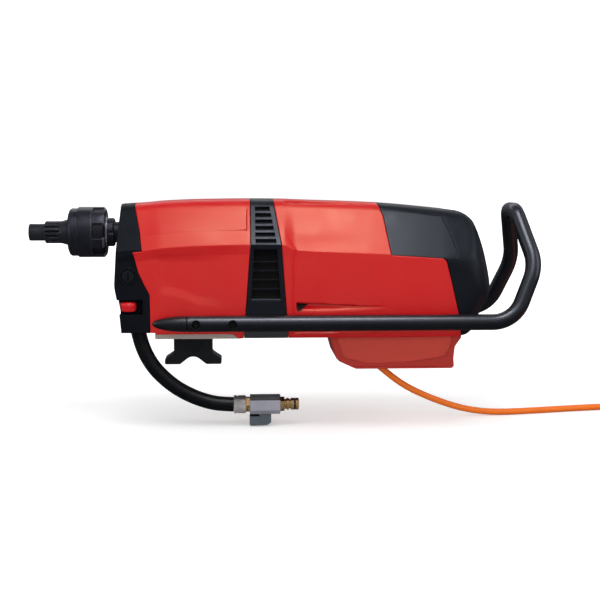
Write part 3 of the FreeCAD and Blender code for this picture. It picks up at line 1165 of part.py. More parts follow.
def make_cable_box():
    parts = {}
    rounds = (0, 3, 3, 6, 4, 10, 12, 3, 0)
    outer = prism(box_outline(0.0), rounds, "y", -BOX_HALF_WIDTH, BOX_HALF_WIDTH)
    inner = prism(box_outline(BOX_WALL), tuple(max(r - BOX_WALL, 0) for r in rounds), "y",
                  -BOX_HALF_WIDTH + BOX_WALL + 1.5, BOX_HALF_WIDTH - BOX_WALL - 1.5)
    shell = outer.cut(inner)
    panel = prism(((BOX_X[0] + 7, 2), (BOX_X[0] + 19.0, -29), (BOX_X[0] + 55, -36.0), (BOX_X[0] + 105, -33.5),
                   (BOX_X[1] - 20, -27), (BOX_X[1] - 12.5, -12), (BOX_X[1] - 11, 2)),
                   (0, 6, 60, 90, 10, 8, 0), "y",
                  -BOX_HALF_WIDTH - 1, -BOX_HALF_WIDTH + 1.6)
    for one in both_sides(panel):
        shell = shell.cut(one)
    # rounded long edges of the floor come from a draft on both flanks
    for side in (-1, 1):
        draft = Part.makePolygon([V(BOX_X[0] - 5, side * (BOX_HALF_WIDTH + 1), BOX_FLOOR_Z - 1),
                                  V(BOX_X[0] - 5, side * (BOX_HALF_WIDTH - 3.5), BOX_FLOOR_Z - 1),
                                  V(BOX_X[0] - 5, side * (BOX_HALF_WIDTH + 1), BOX_FLOOR_Z + 5),
                                  V(BOX_X[0] - 5, side * (BOX_HALF_WIDTH + 1), BOX_FLOOR_Z - 1)])
        shell = shell.cut(Part.Face(draft).extrude(V(BOX_X[1] - BOX_X[0] + 10, 0, 0)))
    way = gland_way()
    mouth = V(GLAND_X, 0, BOX_FLOOR_Z)
    hole = rod(mouth - way * 30, mouth + way * 12, GLAND_SEAT_D / 2)
    seat = rod(mouth - way * 14, mouth + way * 6, GLAND_SEAT_D / 2 + 3.0).common(outer)
    shell = join(shell, seat).cut(hole)
    parts["cable_box"] = shell
    gland = Part.makeCone(GLAND_SEAT_D / 2, CORD_D / 2 + 1.6, 30.0, mouth - way * 26, way)
    flange = Part.makeCylinder(GLAND_SEAT_D / 2, 14.0, mouth - way * 28, way)
    gland = join(gland, flange)
    gland = gland.common(rod(mouth - way * 28, mouth + way * 4.0, GLAND_SEAT_D))
    gland = gland.cut(rod(mouth + way * 3.0, mouth + way * 5, CORD_D / 2))
    parts["cable_gland"] = gland
    box_screws = []
    for x in (BOX_X[0] + 40, BOX_X[1] - 24):
        for y in (-34, 34):
            box_screws.append((x, y))
    solids = []
    for x, y in box_screws:
        boss = ring((x, y, BOX_FLOOR_Z + BOX_WALL - 0.5), (x, y, 0), 5.5, 2.2)
        shell = join(shell, boss)
        shell = shell.cut(rod((x, y, BOX_FLOOR_Z - 1), (x, y, BOX_FLOOR_Z + BOX_WALL + 4), 4.2))
        solids.append(screw((x, y, BOX_FLOOR_Z + BOX_WALL + 4), (0, 0, 1), 4.4, 8.0, 3.4, 38.0))
    parts["cable_box"] = shell
    return parts, box_screws, solids


GLAND_SEAT_D = 17.0


def gland_way():
    tilt = math.radians(GLAND_TILT)
    return V(math.sin(tilt), 0, -math.cos(tilt))


# ---------------------------------------------------------------- water parts
def make_water():
    parts = {}
    x0, x1 = BLOCK_X
    block = box(x0, x1, BLOCK_Y[0], BLOCK_Y[1], BLOCK_Z[0], BLOCK_Z[1])
    chamber = rod((INDICATOR_X, BLOCK_Y[0] - 1, INDICATOR_Z), (INDICATOR_X, BLOCK_Y[0] + 9.0, INDICATOR_Z),
                  INDICATOR_R - 1.4)
    block = block.cut(chamber)
    axle = rod((INDICATOR_X, BLOCK_Y[0] + 0.4, INDICATOR_Z), (INDICATOR_X, BLOCK_Y[0] + 10.0, INDICATOR_Z),
               1.0)
    block = join(block, axle)
    bore = rod((KNOB_X, KNOB_Y, BLOCK_Z[0] - 1), (KNOB_X, KNOB_Y, BLOCK_Z[0] + 12),
               STEM_D / 2 + SHAFT_CLEARANCE)
    block = block.cut(bore)
    outlet = (BLOCK_X[1], BLOCK_Y[1] - 6, BLOCK_Z[1] - 8)
    block = block.cut(rod((outlet[0] - 8, outlet[1], outlet[2]), (outlet[0] + 1, outlet[1], outlet[2]),
                          PIPE_BORE / 2))
    parts["water_block"] = block
    parts["indicator_window"] = rod((INDICATOR_X, INDICATOR_FACE_Y + 0.6, INDICATOR_Z),
                                    (INDICATOR_X, INDICATOR_FACE_Y + 3.0, INDICATOR_Z), INDICATOR_R - 0.6)
    wheel = ring((INDICATOR_X, BLOCK_Y[0] + 0.8, INDICATOR_Z), (INDICATOR_X, BLOCK_Y[0] + 8.4, INDICATOR_Z),
                 2.4, 1.0 + SHAFT_CLEARANCE)
    vanes = []
    for k in range(4):
        vane = box(-0.6, 0.6, BLOCK_Y[0] + 0.8, BLOCK_Y[0] + 8.4, 2.0, INDICATOR_R - 2.2)
        vane.rotate(V(0, 0, 0), V(0, 1, 0), 90 * k)
        vane.translate(V(INDICATOR_X, 0, INDICATOR_Z))
        vanes.append(vane)
    parts["indicator_wheel"] = join(wheel, *vanes)

    # flow knob: ribbed rim with a domed underside, its stem reaching up into the water block
    rim_low = KNOB_TOP_Z - KNOB_RIM
    knob = rod((KNOB_X, KNOB_Y, rim_low), (KNOB_X, KNOB_Y, KNOB_TOP_Z), KNOB_R)
    for k in range(20):
        a = math.radians(18 * k)
        groove = rod((KNOB_X + (KNOB_R + 0.5) * math.cos(a), KNOB_Y + (KNOB_R + 0.5) * math.sin(a),
                      rim_low + 0.8),
                     (KNOB_X + (KNOB_R + 0.5) * math.cos(a), KNOB_Y + (KNOB_R + 0.5) * math.sin(a),
                      KNOB_TOP_Z + 1), 1.1)
        knob = knob.cut(groove)
    ball_r = (KNOB_R ** 2 + KNOB_DOME ** 2) / (2 * KNOB_DOME)
    dome = Part.makeSphere(ball_r, V(KNOB_X, KNOB_Y, rim_low - KNOB_DOME + ball_r))
    dome = dome.common(rod((KNOB_X, KNOB_Y, rim_low - KNOB_DOME - 1), (KNOB_X, KNOB_Y, rim_low + 0.01),
                           KNOB_R + 5))
    stem = rod((KNOB_X, KNOB_Y, KNOB_TOP_Z - 1), (KNOB_X, KNOB_Y, BLOCK_Z[0] + 11), STEM_D / 2)
    parts["flow_knob"] = join(knob, dome, stem)

    # union from the hose up to the block, and the pipe from the block to the water ring on the spindle
    port_x, port_y = HOSE_PORT
    start = V(*HOSE_ROUTE[0])
    back = start - V(*HOSE_ROUTE[1])
    back.normalize()
    tail = ring(start, start + back * 17.0, HOSE_D / 2, 3.0)
    rise_y = port_y + 3.0
    riser = ring((port_x, rise_y, start.z + 15.0), (port_x, rise_y, BLOCK_Z[0] - 4), 4.5, 3.0)
    elbow = box(port_x - 6, port_x + 6, rise_y - 4.5, rise_y + 6, BLOCK_Z[0] - 8, BLOCK_Z[0])
    elbow = elbow.cut(rod((port_x, rise_y, 0), (port_x, rise_y, BLOCK_Z[0] - 2), 3.0))
    parts["hose_union"] = join(tail, riser, elbow)
    water_ring = ring((WATER_RING_X, 0, SPINDLE_Z), (WATER_RING_X + 11.0, 0, SPINDLE_Z), 27.0,
                      FRONT_BEARING[0] / 2 + SHAFT_CLEARANCE)
    water_ring = water_ring.cut(ring((WATER_RING_X + 3.5, 0, SPINDLE_Z), (WATER_RING_X + 7.5, 0, SPINDLE_Z),
                                     16.5,
                                     FRONT_BEARING[0] / 2 - 1))
    port = rod((WATER_RING_X + 5.5, -15, SPINDLE_Z), (WATER_RING_X + 5.5, -40, SPINDLE_Z), PIPE_BORE / 2)
    nipple = rod((WATER_RING_X + 5.5, -25, SPINDLE_Z), (WATER_RING_X + 5.5, -32, SPINDLE_Z), 4.5)
    parts["water_ring"] = join(water_ring, nipple).cut(port)
    start = (outlet[0], outlet[1], outlet[2])
    pipe_points = (start, (outlet[0] + 7.5, outlet[1], outlet[2]),
                   (outlet[0] + 9, outlet[1] + 1.5, SPINDLE_Z - 8),
                   (WATER_RING_X + 5.5, -42.0, SPINDLE_Z), (WATER_RING_X + 5.5, -32.0, SPINDLE_Z))
    path, used = bent_path(pipe_points, (5.0, 6.5, 5.5))
    parts["water_pipe"] = swept(path, PIPE_D / 2).cut(swept(path, PIPE_BORE / 2))
    return parts


def make_hose():
    parts = {}
    parts["water_hose"] = cord_tube("hose", HOSE_ROUTE, HOSE_D)
    x = HOSE_ROUTE[-1][0]
    axis = (VALVE_Y, VALVE_Z)
    bore = VALVE_BORE / 2
    parts["hose_ferrule"] = turned_x([(x, 0), (x, FERRULE_D / 2 - 0.6), (x + 0.6, FERRULE_D / 2),
                                      (x + 3.2, FERRULE_D / 2),
                                      (x + 3.8, FERRULE_D / 2 - 0.7), (x + 5.2, FERRULE_D / 2 - 0.7),
                                      (x + 5.8, FERRULE_D / 2),
                                      (x + FERRULE_LENGTH - 0.8, FERRULE_D / 2),
                                      (x + FERRULE_LENGTH, FERRULE_D / 2 - 0.8),
                                      (x + FERRULE_LENGTH, 0)], *axis)
    x += FERRULE_LENGTH
    corner_r = NIPPLE_D / 2 / math.cos(math.pi / 6)
    corners = [(corner_r * math.cos(math.radians(60 * k)) + axis[0],
                corner_r * math.sin(math.radians(60 * k)) + axis[1]) for k in range(6)]
    nipple = prism(corners, 0.6, "x", x, x + NIPPLE_LENGTH)
    parts["valve_nipple"] = nipple.cut(rod((x - 1, *axis), (x + NIPPLE_LENGTH + 1, *axis), bore))
    x += NIPPLE_LENGTH
    r = VALVE_ACROSS / 2
    face = 6.5
    section = ((-r, -face), (-r, face), (-face - 1.0, r), (face + 1.0, r), (r, face), (r, -face),
               (face + 1, -r),
               (-face - 1, -r))
    section = [(y + axis[0], z + axis[1]) for y, z in section]
    body = prism(section, 0.8, "x", x, x + VALVE_LENGTH)
    stem_x = x + LEVER_STEM_X
    body = body.cut(rod((x - 1, *axis), (x + VALVE_LENGTH + 1, *axis), bore))
    cavity = Part.makeSphere(BALL_D / 2 + 0.3, V(stem_x, *axis))
    body = body.cut(cavity)
    body = body.cut(rod((stem_x, axis[0], axis[1] - r - 1), (stem_x, axis[0], axis[1]),
                        3.0 + SHAFT_CLEARANCE))
    parts["valve_body"] = body
    ball = Part.makeSphere(BALL_D / 2, V(stem_x, *axis)).cut(rod((x - 10, *axis), (x + 90, *axis), bore))
    stem_low = axis[1] - r - 2.0
    stem = rod((stem_x, axis[0], stem_low), (stem_x, axis[0], axis[1] - BALL_D / 2 + 1.6), 3.0)
    parts["valve_ball"] = join(ball, stem)
    bottom = axis[1] - r - LEVER_DEPTH
    lever = prism(((stem_x + LEVER_X[0], axis[1] - r - 3.2), (stem_x - 6.5, axis[1] - r - 3.2),
                   (stem_x - 6.0, axis[1] - r - 0.5), (stem_x + LEVER_X[1], axis[1] - r - 0.5),
                   (stem_x + LEVER_X[1], bottom + 4), (stem_x + LEVER_X[1] - 5, bottom + 0.8),
                   (stem_x + LEVER_X[0], bottom)), (1.5, 0.5, 0.5, 1, 3.5, 3, 2), "y",
                  axis[0] - LEVER_HALF_WIDTH, axis[0] + LEVER_HALF_WIDTH)
    lever = lever.cut(rod((stem_x, axis[0], stem_low), (stem_x, axis[0], 0), 3.0))
    parts["valve_lever"] = lever
    x += VALVE_LENGTH
    plug = turned_x([(x, bore), (x, 9.2), (x + 5.2, 9.2), (x + 5.8, 6.4), (x + 7.6, 6.4),
                     (x + 8.2, COUPLING_D / 2),
                     (x + 11.0, COUPLING_D / 2), (x + 11.6, 6.0), (x + 13.0, 6.0), (x + 13.6, COUPLING_D / 2),
                     (x + 17.4, COUPLING_D / 2), (x + 17.4, ORING_R), (x + 19.8, ORING_R),
                     (x + 19.8, COUPLING_D / 2),
                     (x + COUPLING_LENGTH - 1, COUPLING_D / 2), (x + COUPLING_LENGTH, COUPLING_D / 2 - 1),
                     (x + COUPLING_LENGTH, bore)], *axis)
    hexagon = prism([(9.4 * math.cos(math.radians(60 * k + 30)) + axis[0],
                      9.4 * math.sin(math.radians(60 * k + 30)) + axis[1])
                     for k in range(6)], 0.5, "x", x, x + 5.2)
    core = plug.cut(ring((x - 1, *axis), (x + 5.2, *axis), 12.0, 7.0))
    parts["coupling_plug"] = join(core, hexagon.cut(rod((x - 1, *axis), (x + 6, *axis), bore)))
    parts["coupling_o_ring"] = Part.makeTorus(ORING_R + 1.1, 1.1, V(x + 18.6, *axis), V(1, 0, 0))
    return parts


# ---------------------------------------------------------------- mains lead
def cord_route():
    """The lead from its gland down to the ground and away to the coil."""
    way = gland_way()
    start = V(GLAND_X, 0, BOX_FLOOR_Z) + way * 3.0
    x0, y0, z0 = start
    join_y = COIL_MIDDLE[1] + COIL_OUTER_TURN_R
    end_x = COIL_MIDDLE[0] - COIL_STUB
    return ((x0, y0, z0), (x0 + 13.5, 0.0, z0 - 15.0), (x0 + 30.0, 1.5, z0 - 31.5),
            (x0 + 51.0, 3.5, z0 - 45.0),
            (x0 + 76.0, 5.0, z0 - 55.5), (x0 + 104.0, 5.8, CORD_Z + 3.2), (x0 + 134.0, 7.0, CORD_Z),
            (x0 + 166.0, 9.5, CORD_Z), (x0 + 198.0, 14.5, CORD_Z), (x0 + 231.0, 22.0, CORD_Z),
            (x0 + 266.0, 30.5, CORD_Z), (x0 + 302.0, join_y - 2.0, CORD_Z + 0.1),
            (x0 + 332.0, join_y + 0.4, CORD_Z + 0.8),
            (end_x, join_y, COIL_Z))


def tail_route():
    """From the top of the coil down to the plug that lies beside it."""
    x = COIL_MIDDLE[0] + COIL_OUTER_TURN_R
    y = COIL_MIDDLE[1] - COIL_STUB
    top = COIL_Z + (COIL_LAYERS - 1) * CORD_D
    low = GROUND_Z + PLUG_R + 0.2
    return ((x, y, top), (x, y - 13.0, top), (x - 1.1, y - 28.0, top - 3.6), (x - 2.7, y - 43.0, low + 3.2),
            (x - 3.7, y - 58.0, low), (x - 3.7, y - 71.0, low))


def make_cord():
    parts = {}
    lead = cord_tube("lead", cord_route(), CORD_D)
    tail = cord_tube("tail", tail_route(), CORD_D)
    parts["power_cord"] = lead
    parts["plug_lead"] = tail
    cx, cy = COIL_MIDDLE
    r = CORD_D / 2
    half = COIL_COLUMNS * r + COIL_SLACK
    base = GROUND_Z + COIL_LIFT - COIL_SLACK
    height = COIL_LAYERS * CORD_D + 2 * COIL_SLACK
    wire = rounded_wire(((COIL_MEAN_R - half, base), (COIL_MEAN_R + half, base),
                         (COIL_MEAN_R + half, base + height),
                         (COIL_MEAN_R - half, base + height)), r + COIL_SLACK, place_xz(0))
    coil = Part.Face(wire).revolve(V(0, 0, 0), V(0, 0, 1), 360)
    if coil.Volume < 0:
        coil = coil.reversed()
    coil.translate(V(cx, cy, 0))
    lead_end = V(*cord_route()[-1])
    tail_start = V(*tail_route()[0])
    stub_in = rod(lead_end, (cx, lead_end.y, lead_end.z), r)
    stub_out = rod(tail_start, (tail_start.x, cy, tail_start.z), r)
    parts["cord_coil"] = join(coil, stub_in, stub_out)
    thick = COIL_LIFT - COIL_SLACK - 0.1
    gap = 0.15
    tie_outer = box(COIL_MEAN_R - half - gap - thick, COIL_MEAN_R + half + gap + thick, -TIE_WIDTH / 2,
                    TIE_WIDTH / 2,
                    base - thick, base + height + gap + thick)
    tie_inner = box(COIL_MEAN_R - half - gap, COIL_MEAN_R + half + gap, -TIE_WIDTH, TIE_WIDTH, base,
                    base + height + gap)
    tie = tie_outer.cut(tie_inner)
    tie.rotate(V(0, 0, 0), V(0, 0, 1), TIE_ANGLE)
    tie.translate(V(cx, cy, 0))
    parts["cord_tie"] = tie.cut(coil)

    # moulded plug with two pins, lying on its side
    end = V(*tail_route()[-1])
    z = end.z
    y0 = end.y
    grip_end = y0 - PLUG_BODY_LENGTH * 0.55
    face_y = y0 - PLUG_BODY_LENGTH
    boot = Part.makeCone(7.5, CORD_D / 2 + 1.2, 16.0, V(end.x, y0 - 4, z), V(0, 1, 0))
    boot = boot.cut(rod((end.x, y0, z), (end.x, y0 + 20, z), CORD_D / 2 + PLUG_FIT))
    grip = Part.makeCone(PLUG_R - 3.2, 10.5, y0 - grip_end - 2, V(end.x, grip_end, z), V(0, 1, 0))
    disc = rod((end.x, face_y, z), (end.x, grip_end + 1, z), PLUG_R)
    plug = join(disc, grip, boot)
    for side in (-1, 1):
        plug = plug.cut(box(end.x + side * 15.2 - 2.2, end.x + side * 15.2 + 2.2, face_y - 1, face_y + 9,
                            z - 4, z + 4)
                        .translated(V(side * 2.6, 0, 0)))
    for side in (-1, 1):
        plug = plug.cut(rod((end.x + side * PIN_SPACING / 2, face_y - 1, z),
                            (end.x + side * PIN_SPACING / 2, face_y + 12, z),
                            PIN_D / 2))
    parts["plug_body"] = plug
    pins = []
    for side in (-1, 1):
        x = end.x + side * PIN_SPACING / 2
        pin = rod((x, face_y + 12, z), (x, face_y - PIN_LENGTH + PIN_D / 2, z), PIN_D / 2)
        tip = Part.makeSphere(PIN_D / 2, V(x, face_y - PIN_LENGTH + PIN_D / 2, z))
        pins.append(join(pin, tip))
    parts["plug_pins"] = group(pins)
    return parts


# ---------------------------------------------------------------- build and write
def main():
    os.makedirs("parts", exist_ok=True)
    shells = make_shells()
    parts = {}
    parts.update(make_controls(shells))
    cable_parts, box_screws, low_screws = make_cable_box()
    for x, y in box_screws:
        shells["rear_hood"] = shells["rear_hood"].cut(rod((x, y, -1), (x, y, SHELL_WALL + 2), 2.2))
    parts.update(shells)
    parts.update(cable_parts)
    parts.update(make_drive())
    frame_parts, frame_screws = make_frame()
    parts.update(frame_parts)
    parts["case_screws"] = group(frame_screws + low_screws)
    parts.update(make_chuck())
    parts.update(make_handle())
    parts.update(make_electronics())
    parts.update(make_water())
    parts.update(make_hose())
    parts.update(make_cord())
    for name in sorted(parts):
        shape = parts[name]
        solids = shape.Solids
        if not solids or not shape.isValid() or min(s.Volume for s in solids) <= 0:
            print("CHECK", name, "solids", len(solids), "valid", shape.isValid())
        out = solids[0] if len(solids) == 1 else Part.makeCompound(solids)
        out.exportStep(os.path.join("parts", name + ".step"))
    print(len(parts), "nodes")


main()
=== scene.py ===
import bmesh
import bpy
import functools
import math
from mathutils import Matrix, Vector


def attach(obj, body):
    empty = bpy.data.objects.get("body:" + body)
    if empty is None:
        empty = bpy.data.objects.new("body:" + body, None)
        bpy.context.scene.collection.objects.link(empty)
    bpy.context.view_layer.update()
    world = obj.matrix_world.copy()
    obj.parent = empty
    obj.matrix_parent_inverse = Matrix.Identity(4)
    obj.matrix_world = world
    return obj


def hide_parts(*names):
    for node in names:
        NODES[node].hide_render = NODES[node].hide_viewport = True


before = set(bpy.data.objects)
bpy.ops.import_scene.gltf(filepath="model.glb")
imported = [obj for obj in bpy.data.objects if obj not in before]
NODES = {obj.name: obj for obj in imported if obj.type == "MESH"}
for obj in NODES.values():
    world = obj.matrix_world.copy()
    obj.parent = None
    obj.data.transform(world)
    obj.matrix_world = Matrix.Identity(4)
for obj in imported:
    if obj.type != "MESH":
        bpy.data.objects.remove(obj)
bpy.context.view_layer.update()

MM = 0.001
MICRON = 0.000001
GROUND = -0.115
WHITE = (1, 1, 1, 1)


# ---------------------------------------------------------------- objects and shader nodes
def put(name, data):
    obj = bpy.data.objects.new(name, data)
    bpy.context.scene.collection.objects.link(obj)
    return obj


def feed(nt, target, inputs):
    """Fills a node's inputs, each with a value or from the output that feeds it."""
    for key, value in inputs.items():
        if isinstance(value, bpy.types.NodeSocket):
            nt.links.new(value, target.inputs[key])
        else:
            target.inputs[key].default_value = value


def node(nt, kind, inputs=None, **settings):
    made = nt.nodes.new(kind)
    for key, value in settings.items():
        setattr(made, key, value)
    feed(nt, made, inputs or {})
    return made


def spread(nt, source, low, high, start=0.3, end=0.7):
    """The source's run from start to end, stretched over low to high."""
    span = {"Value": source, "From Min": start, "From Max": end, "To Min": low, "To Max": high}
    return node(nt, "ShaderNodeMapRange", span).outputs["Result"]


def times(nt, one, other):
    return node(nt, "ShaderNodeMath", {0: one, 1: other}, operation="MULTIPLY").outputs[0]


def blend(nt, share, first, second):
    """Colour between the first and the second."""
    return node(nt, "ShaderNodeMix", {0: share, 6: first, 7: second}, data_type="RGBA").outputs[2]


def mixed(nt, share, first, second):
    """Shader between those of two nodes."""
    return node(nt, "ShaderNodeMixShader", {0: share, 1: first.outputs[0], 2: second.outputs[0]})


def noise(nt, scale, detail, rough, stretch=None):
    where = node(nt, "ShaderNodeTexCoord").outputs["Object"]
    if stretch:
        where = node(nt, "ShaderNodeMapping", {"Vector": where, "Scale": stretch}).outputs["Vector"]
    cloud = {"Vector": where, "Scale": scale, "Detail": detail, "Roughness": rough}
    return node(nt, "ShaderNodeTexNoise", cloud).outputs["Fac"]


def edge_mask(nt, radius):
    """1 on edges and 0 on flats: how far the bevelled normal turns from the true one."""
    bevel = node(nt, "ShaderNodeBevel", {"Radius": radius}, samples=6)
    true = node(nt, "ShaderNodeNewGeometry")
    turn = node(nt, "ShaderNodeVectorMath", {0: bevel.outputs["Normal"], 1: true.outputs["Normal"]},
                operation="DOT_PRODUCT")
    return spread(nt, turn.outputs["Value"], 1.0, 0.0, 0.80, 0.995)


# ---------------------------------------------------------------- camera, floor and light
def look(obj, target):
    way = Vector(target) - obj.location
    obj.rotation_euler = way.to_track_quat("-Z", "Y").to_euler()


def make_camera():
    data = bpy.data.cameras.new("camera")
    data.sensor_width = 36.0
    data.lens = 73.5
    data.clip_start = 0.05
    data.clip_end = 60.0
    cam = put("camera", data)
    azimuth, elevation, distance = math.radians(-3.0), math.radians(5.6), 1.6
    target = Vector((0.1391, 0.0, 0.0418))
    level = math.cos(elevation)
    back = Vector((math.sin(azimuth) * level, -math.cos(azimuth) * level, math.sin(elevation)))
    cam.location = target + back * distance
    look(cam, target)
    bpy.context.scene.camera = cam


def area(name, place, target, size, power):
    data = bpy.data.lights.new(name, "AREA")
    data.shape = "RECTANGLE"
    data.size, data.size_y = size
    data.energy = power
    lamp = put(name, data)
    lamp.location = place
    look(lamp, target)
    return lamp


def make_world():
    """White for the camera and through glass, plain light for the rest, and a dim gradient in what shines."""
    world = bpy.data.worlds.new("studio")
    bpy.context.scene.world = world
    world.use_nodes = True
    nt = world.node_tree
    nt.nodes.clear()
    way = node(nt, "ShaderNodeSeparateXYZ", {0: node(nt, "ShaderNodeTexCoord").outputs["Generated"]})
    height = node(nt, "ShaderNodeMath", {0: way.outputs["Z"], 1: 0.5, 2: 0.5}, operation="MULTIPLY_ADD")
    ramp = node(nt, "ShaderNodeValToRGB", {0: height.outputs[0]})
    stops = ramp.color_ramp.elements
    stops[0].position = 0.42
    stops[0].color = (0.035, 0.037, 0.042, 1)
    stops[1].position = 0.86
    stops[1].color = (0.40, 0.41, 0.45, 1)
    stops.new(0.99).color = (0.06, 0.06, 0.07, 1)
    path = node(nt, "ShaderNodeLightPath").outputs
    seen = node(nt, "ShaderNodeBackground", {"Color": WHITE, "Strength": 1.02})
    fill = node(nt, "ShaderNodeBackground", {"Color": WHITE, "Strength": 0.55})
    shine = node(nt, "ShaderNodeBackground", {"Color": ramp.outputs["Color"], "Strength": 1.0})
    clear = node(nt, "ShaderNodeMath", {0: path["Is Camera Ray"], 1: path["Is Transmission Ray"]},
                 operation="MAXIMUM")
    light = mixed(nt, path["Is Glossy Ray"], fill, shine)
    whole = mixed(nt, clear.outputs[0], light, seen)
    node(nt, "ShaderNodeOutputWorld", {"Surface": whole.outputs[0]})


def make_stage():
    """Pale floor. The camera sees it fade to white away from the object, and other rays see it dimmer."""
    mesh = bpy.data.meshes.new("floor")
    s = 12.0
    mesh.from_pydata([(-s, -s, GROUND), (s, -s, GROUND), (s, s, GROUND), (-s, s, GROUND)], [], [(0, 1, 2, 3)])
    floor = put("floor", mesh)
    paint = bpy.data.materials.new("floor_white")
    paint.use_nodes = True
    nt = paint.node_tree
    nt.nodes.clear()
    where = node(nt, "ShaderNodeTexCoord").outputs["Object"]
    away = node(nt, "ShaderNodeVectorMath", {0: where}, operation="LENGTH")
    lit = node(nt, "ShaderNodeBsdfDiffuse", {"Color": (0.94, 0.94, 0.94, 1)})
    strength = spread(nt, away.outputs["Value"], 0.30, 1.0, 0.5, 2.0)
    glow = node(nt, "ShaderNodeEmission", {"Strength": strength})
    seen = node(nt, "ShaderNodeAddShader", {0: lit.outputs[0], 1: glow.outputs[0]})
    dim = node(nt, "ShaderNodeBsdfDiffuse", {"Color": (0.60, 0.60, 0.60, 1)})
    pick = mixed(nt, node(nt, "ShaderNodeLightPath").outputs["Is Camera Ray"], dim, seen)
    node(nt, "ShaderNodeOutputMaterial", {"Surface": pick.outputs[0]})
    mesh.materials.append(paint)
    floor.visible_glossy = False


bpy.context.scene.view_settings.view_transform = "Standard"
make_camera()
make_world()
make_stage()
area("top_box", (0.20, -0.60, 1.45), (0.16, 0.0, 0.10), (0.72, 0.50), 5.4)
area("sheen", (0.26, -0.62, 1.40), (0.16, 0.0, 0.12), (0.55, 0.34), 3.7).visible_diffuse = False
area("front_soft", (0.15, -1.15, 1.20), (0.12, 0.0, 0.05), (1.0, 0.45), 2.6)
area("front_fill", (0.25, -1.9, 0.35), (0.12, 0.0, 0.02), (1.4, 0.9), 9.6).visible_glossy = False
area("back_top", (0.1, 0.9, 1.0), (0.1, 0.0, 0.1), (1.3, 0.5), 2.4)
area("left_side", (-1.3, -0.5, 0.5), (-0.1, 0.0, 0.1), (0.6, 0.8), 2.4)
area("right_side", (1.4, -0.4, 0.6), (0.3, 0.0, 0.05), (0.5, 0.9), 2.0)


# ---------------------------------------------------------------- materials
def finish(name, colour, rough, metal=0.0, spec=0.5, vary=0.15, vary_scale=9.0, rough_vary=0.06, grain=1300,
           depth=20, stretch=None, bevel=0.0, wear=None, wear_amount=0.5, coat=0.0, coat_rough=0.1,
           tint=(1.0, 1.0, 1.0), painted_dark_top=None):
    """A surface whose colour and roughness drift, with a fine grain, depth microns deep. bevel softens its
    edges over that many millimetres, wear is the colour of its rubbed edges, and the last argument paints a
    reflection: the darker colour of what faces up, with the two heights of the normal that it comes in
    between."""
    material = bpy.data.materials.new(name)
    material.use_nodes = True
    nt = material.node_tree
    darker = tuple(c * (1 - vary) for c in colour)
    lighter = tuple(min(1, c * (1 + vary) + vary * 0.01) for c in colour)
    base = blend(nt, spread(nt, noise(nt, vary_scale, 4.0, 0.6), 0, 1), (*darker, 1), (*lighter, 1))
    if wear:
        broken = spread(nt, noise(nt, 260.0, 4.0, 0.6), 0.0, 1.0, 0.42, 0.62)
        worn = times(nt, times(nt, edge_mask(nt, 0.0011), broken), wear_amount)
        base = blend(nt, worn, base, (*wear, 1))
    # Painted reflection: faces that look up take a darker colour than the rest.
    if painted_dark_top:
        normal = node(nt, "ShaderNodeNewGeometry").outputs["Normal"]
        up = node(nt, "ShaderNodeSeparateXYZ", {0: normal}).outputs["Z"]
        base = blend(nt, spread(nt, up, 0.0, 1.0, *painted_dark_top[1:]), base, (*painted_dark_top[0], 1))
    fine = noise(nt, vary_scale * 7.3, 5.0, 0.65)
    relief = {"Strength": 1.0, "Distance": depth * MICRON, "Height": noise(nt, grain, 2.0, 0.5, stretch)}
    if bevel:
        relief["Normal"] = node(nt, "ShaderNodeBevel", {"Radius": bevel * MM}, samples=6).outputs["Normal"]
    feed(nt, nt.nodes["Principled BSDF"], {
        "Base Color": base,
        "Roughness": spread(nt, fine, rough - rough_vary, rough + rough_vary),
        "Metallic": metal,
        "Specular IOR Level": spec,
        "Specular Tint": (*tint, 1),
        "Coat Weight": coat,
        "Coat Roughness": coat_rough,
        "Normal": node(nt, "ShaderNodeBump", relief).outputs["Normal"],
    })
    return material


def paint_outer_shade(material, reach, colour):
    """Painted shade: a darker colour on a shell's outermost faces, which stand further from the middle plane
    than reach.
    """
    nt = material.node_tree
    shader = nt.nodes["Principled BSDF"]
    before = shader.inputs["Base Color"].links[0].from_socket
    place = node(nt, "ShaderNodeSeparateXYZ", {0: node(nt, "ShaderNodeTexCoord").outputs["Object"]})
    out = node(nt, "ShaderNodeMath", {0: place.outputs["Y"]}, operation="ABSOLUTE")
    past = spread(nt, out.outputs[0], 0.0, 1.0, reach - 0.0002, reach + 0.0002)
    feed(nt, shader, {"Base Color": blend(nt, past, before, (*colour, 1))})


RED_SHELL = {"vary": 0.035, "vary_scale": 5.0, "grain": 1500, "depth": 8, "bevel": 0.8}
BLACK_SHELL = {"vary": 0.12, "depth": 12, "bevel": 0.9}
TURNED = {"grain": 520, "stretch": (3.0, 0.5, 0.5)}
COLD = (0.80, 0.88, 1.0)
COOL = (0.82, 0.88, 1.0)

RED = finish("red_shell", (0.60, 0.0055, 0.0125), 0.34, spec=0.54, tint=(0.86, 0.90, 0.60), **RED_SHELL)
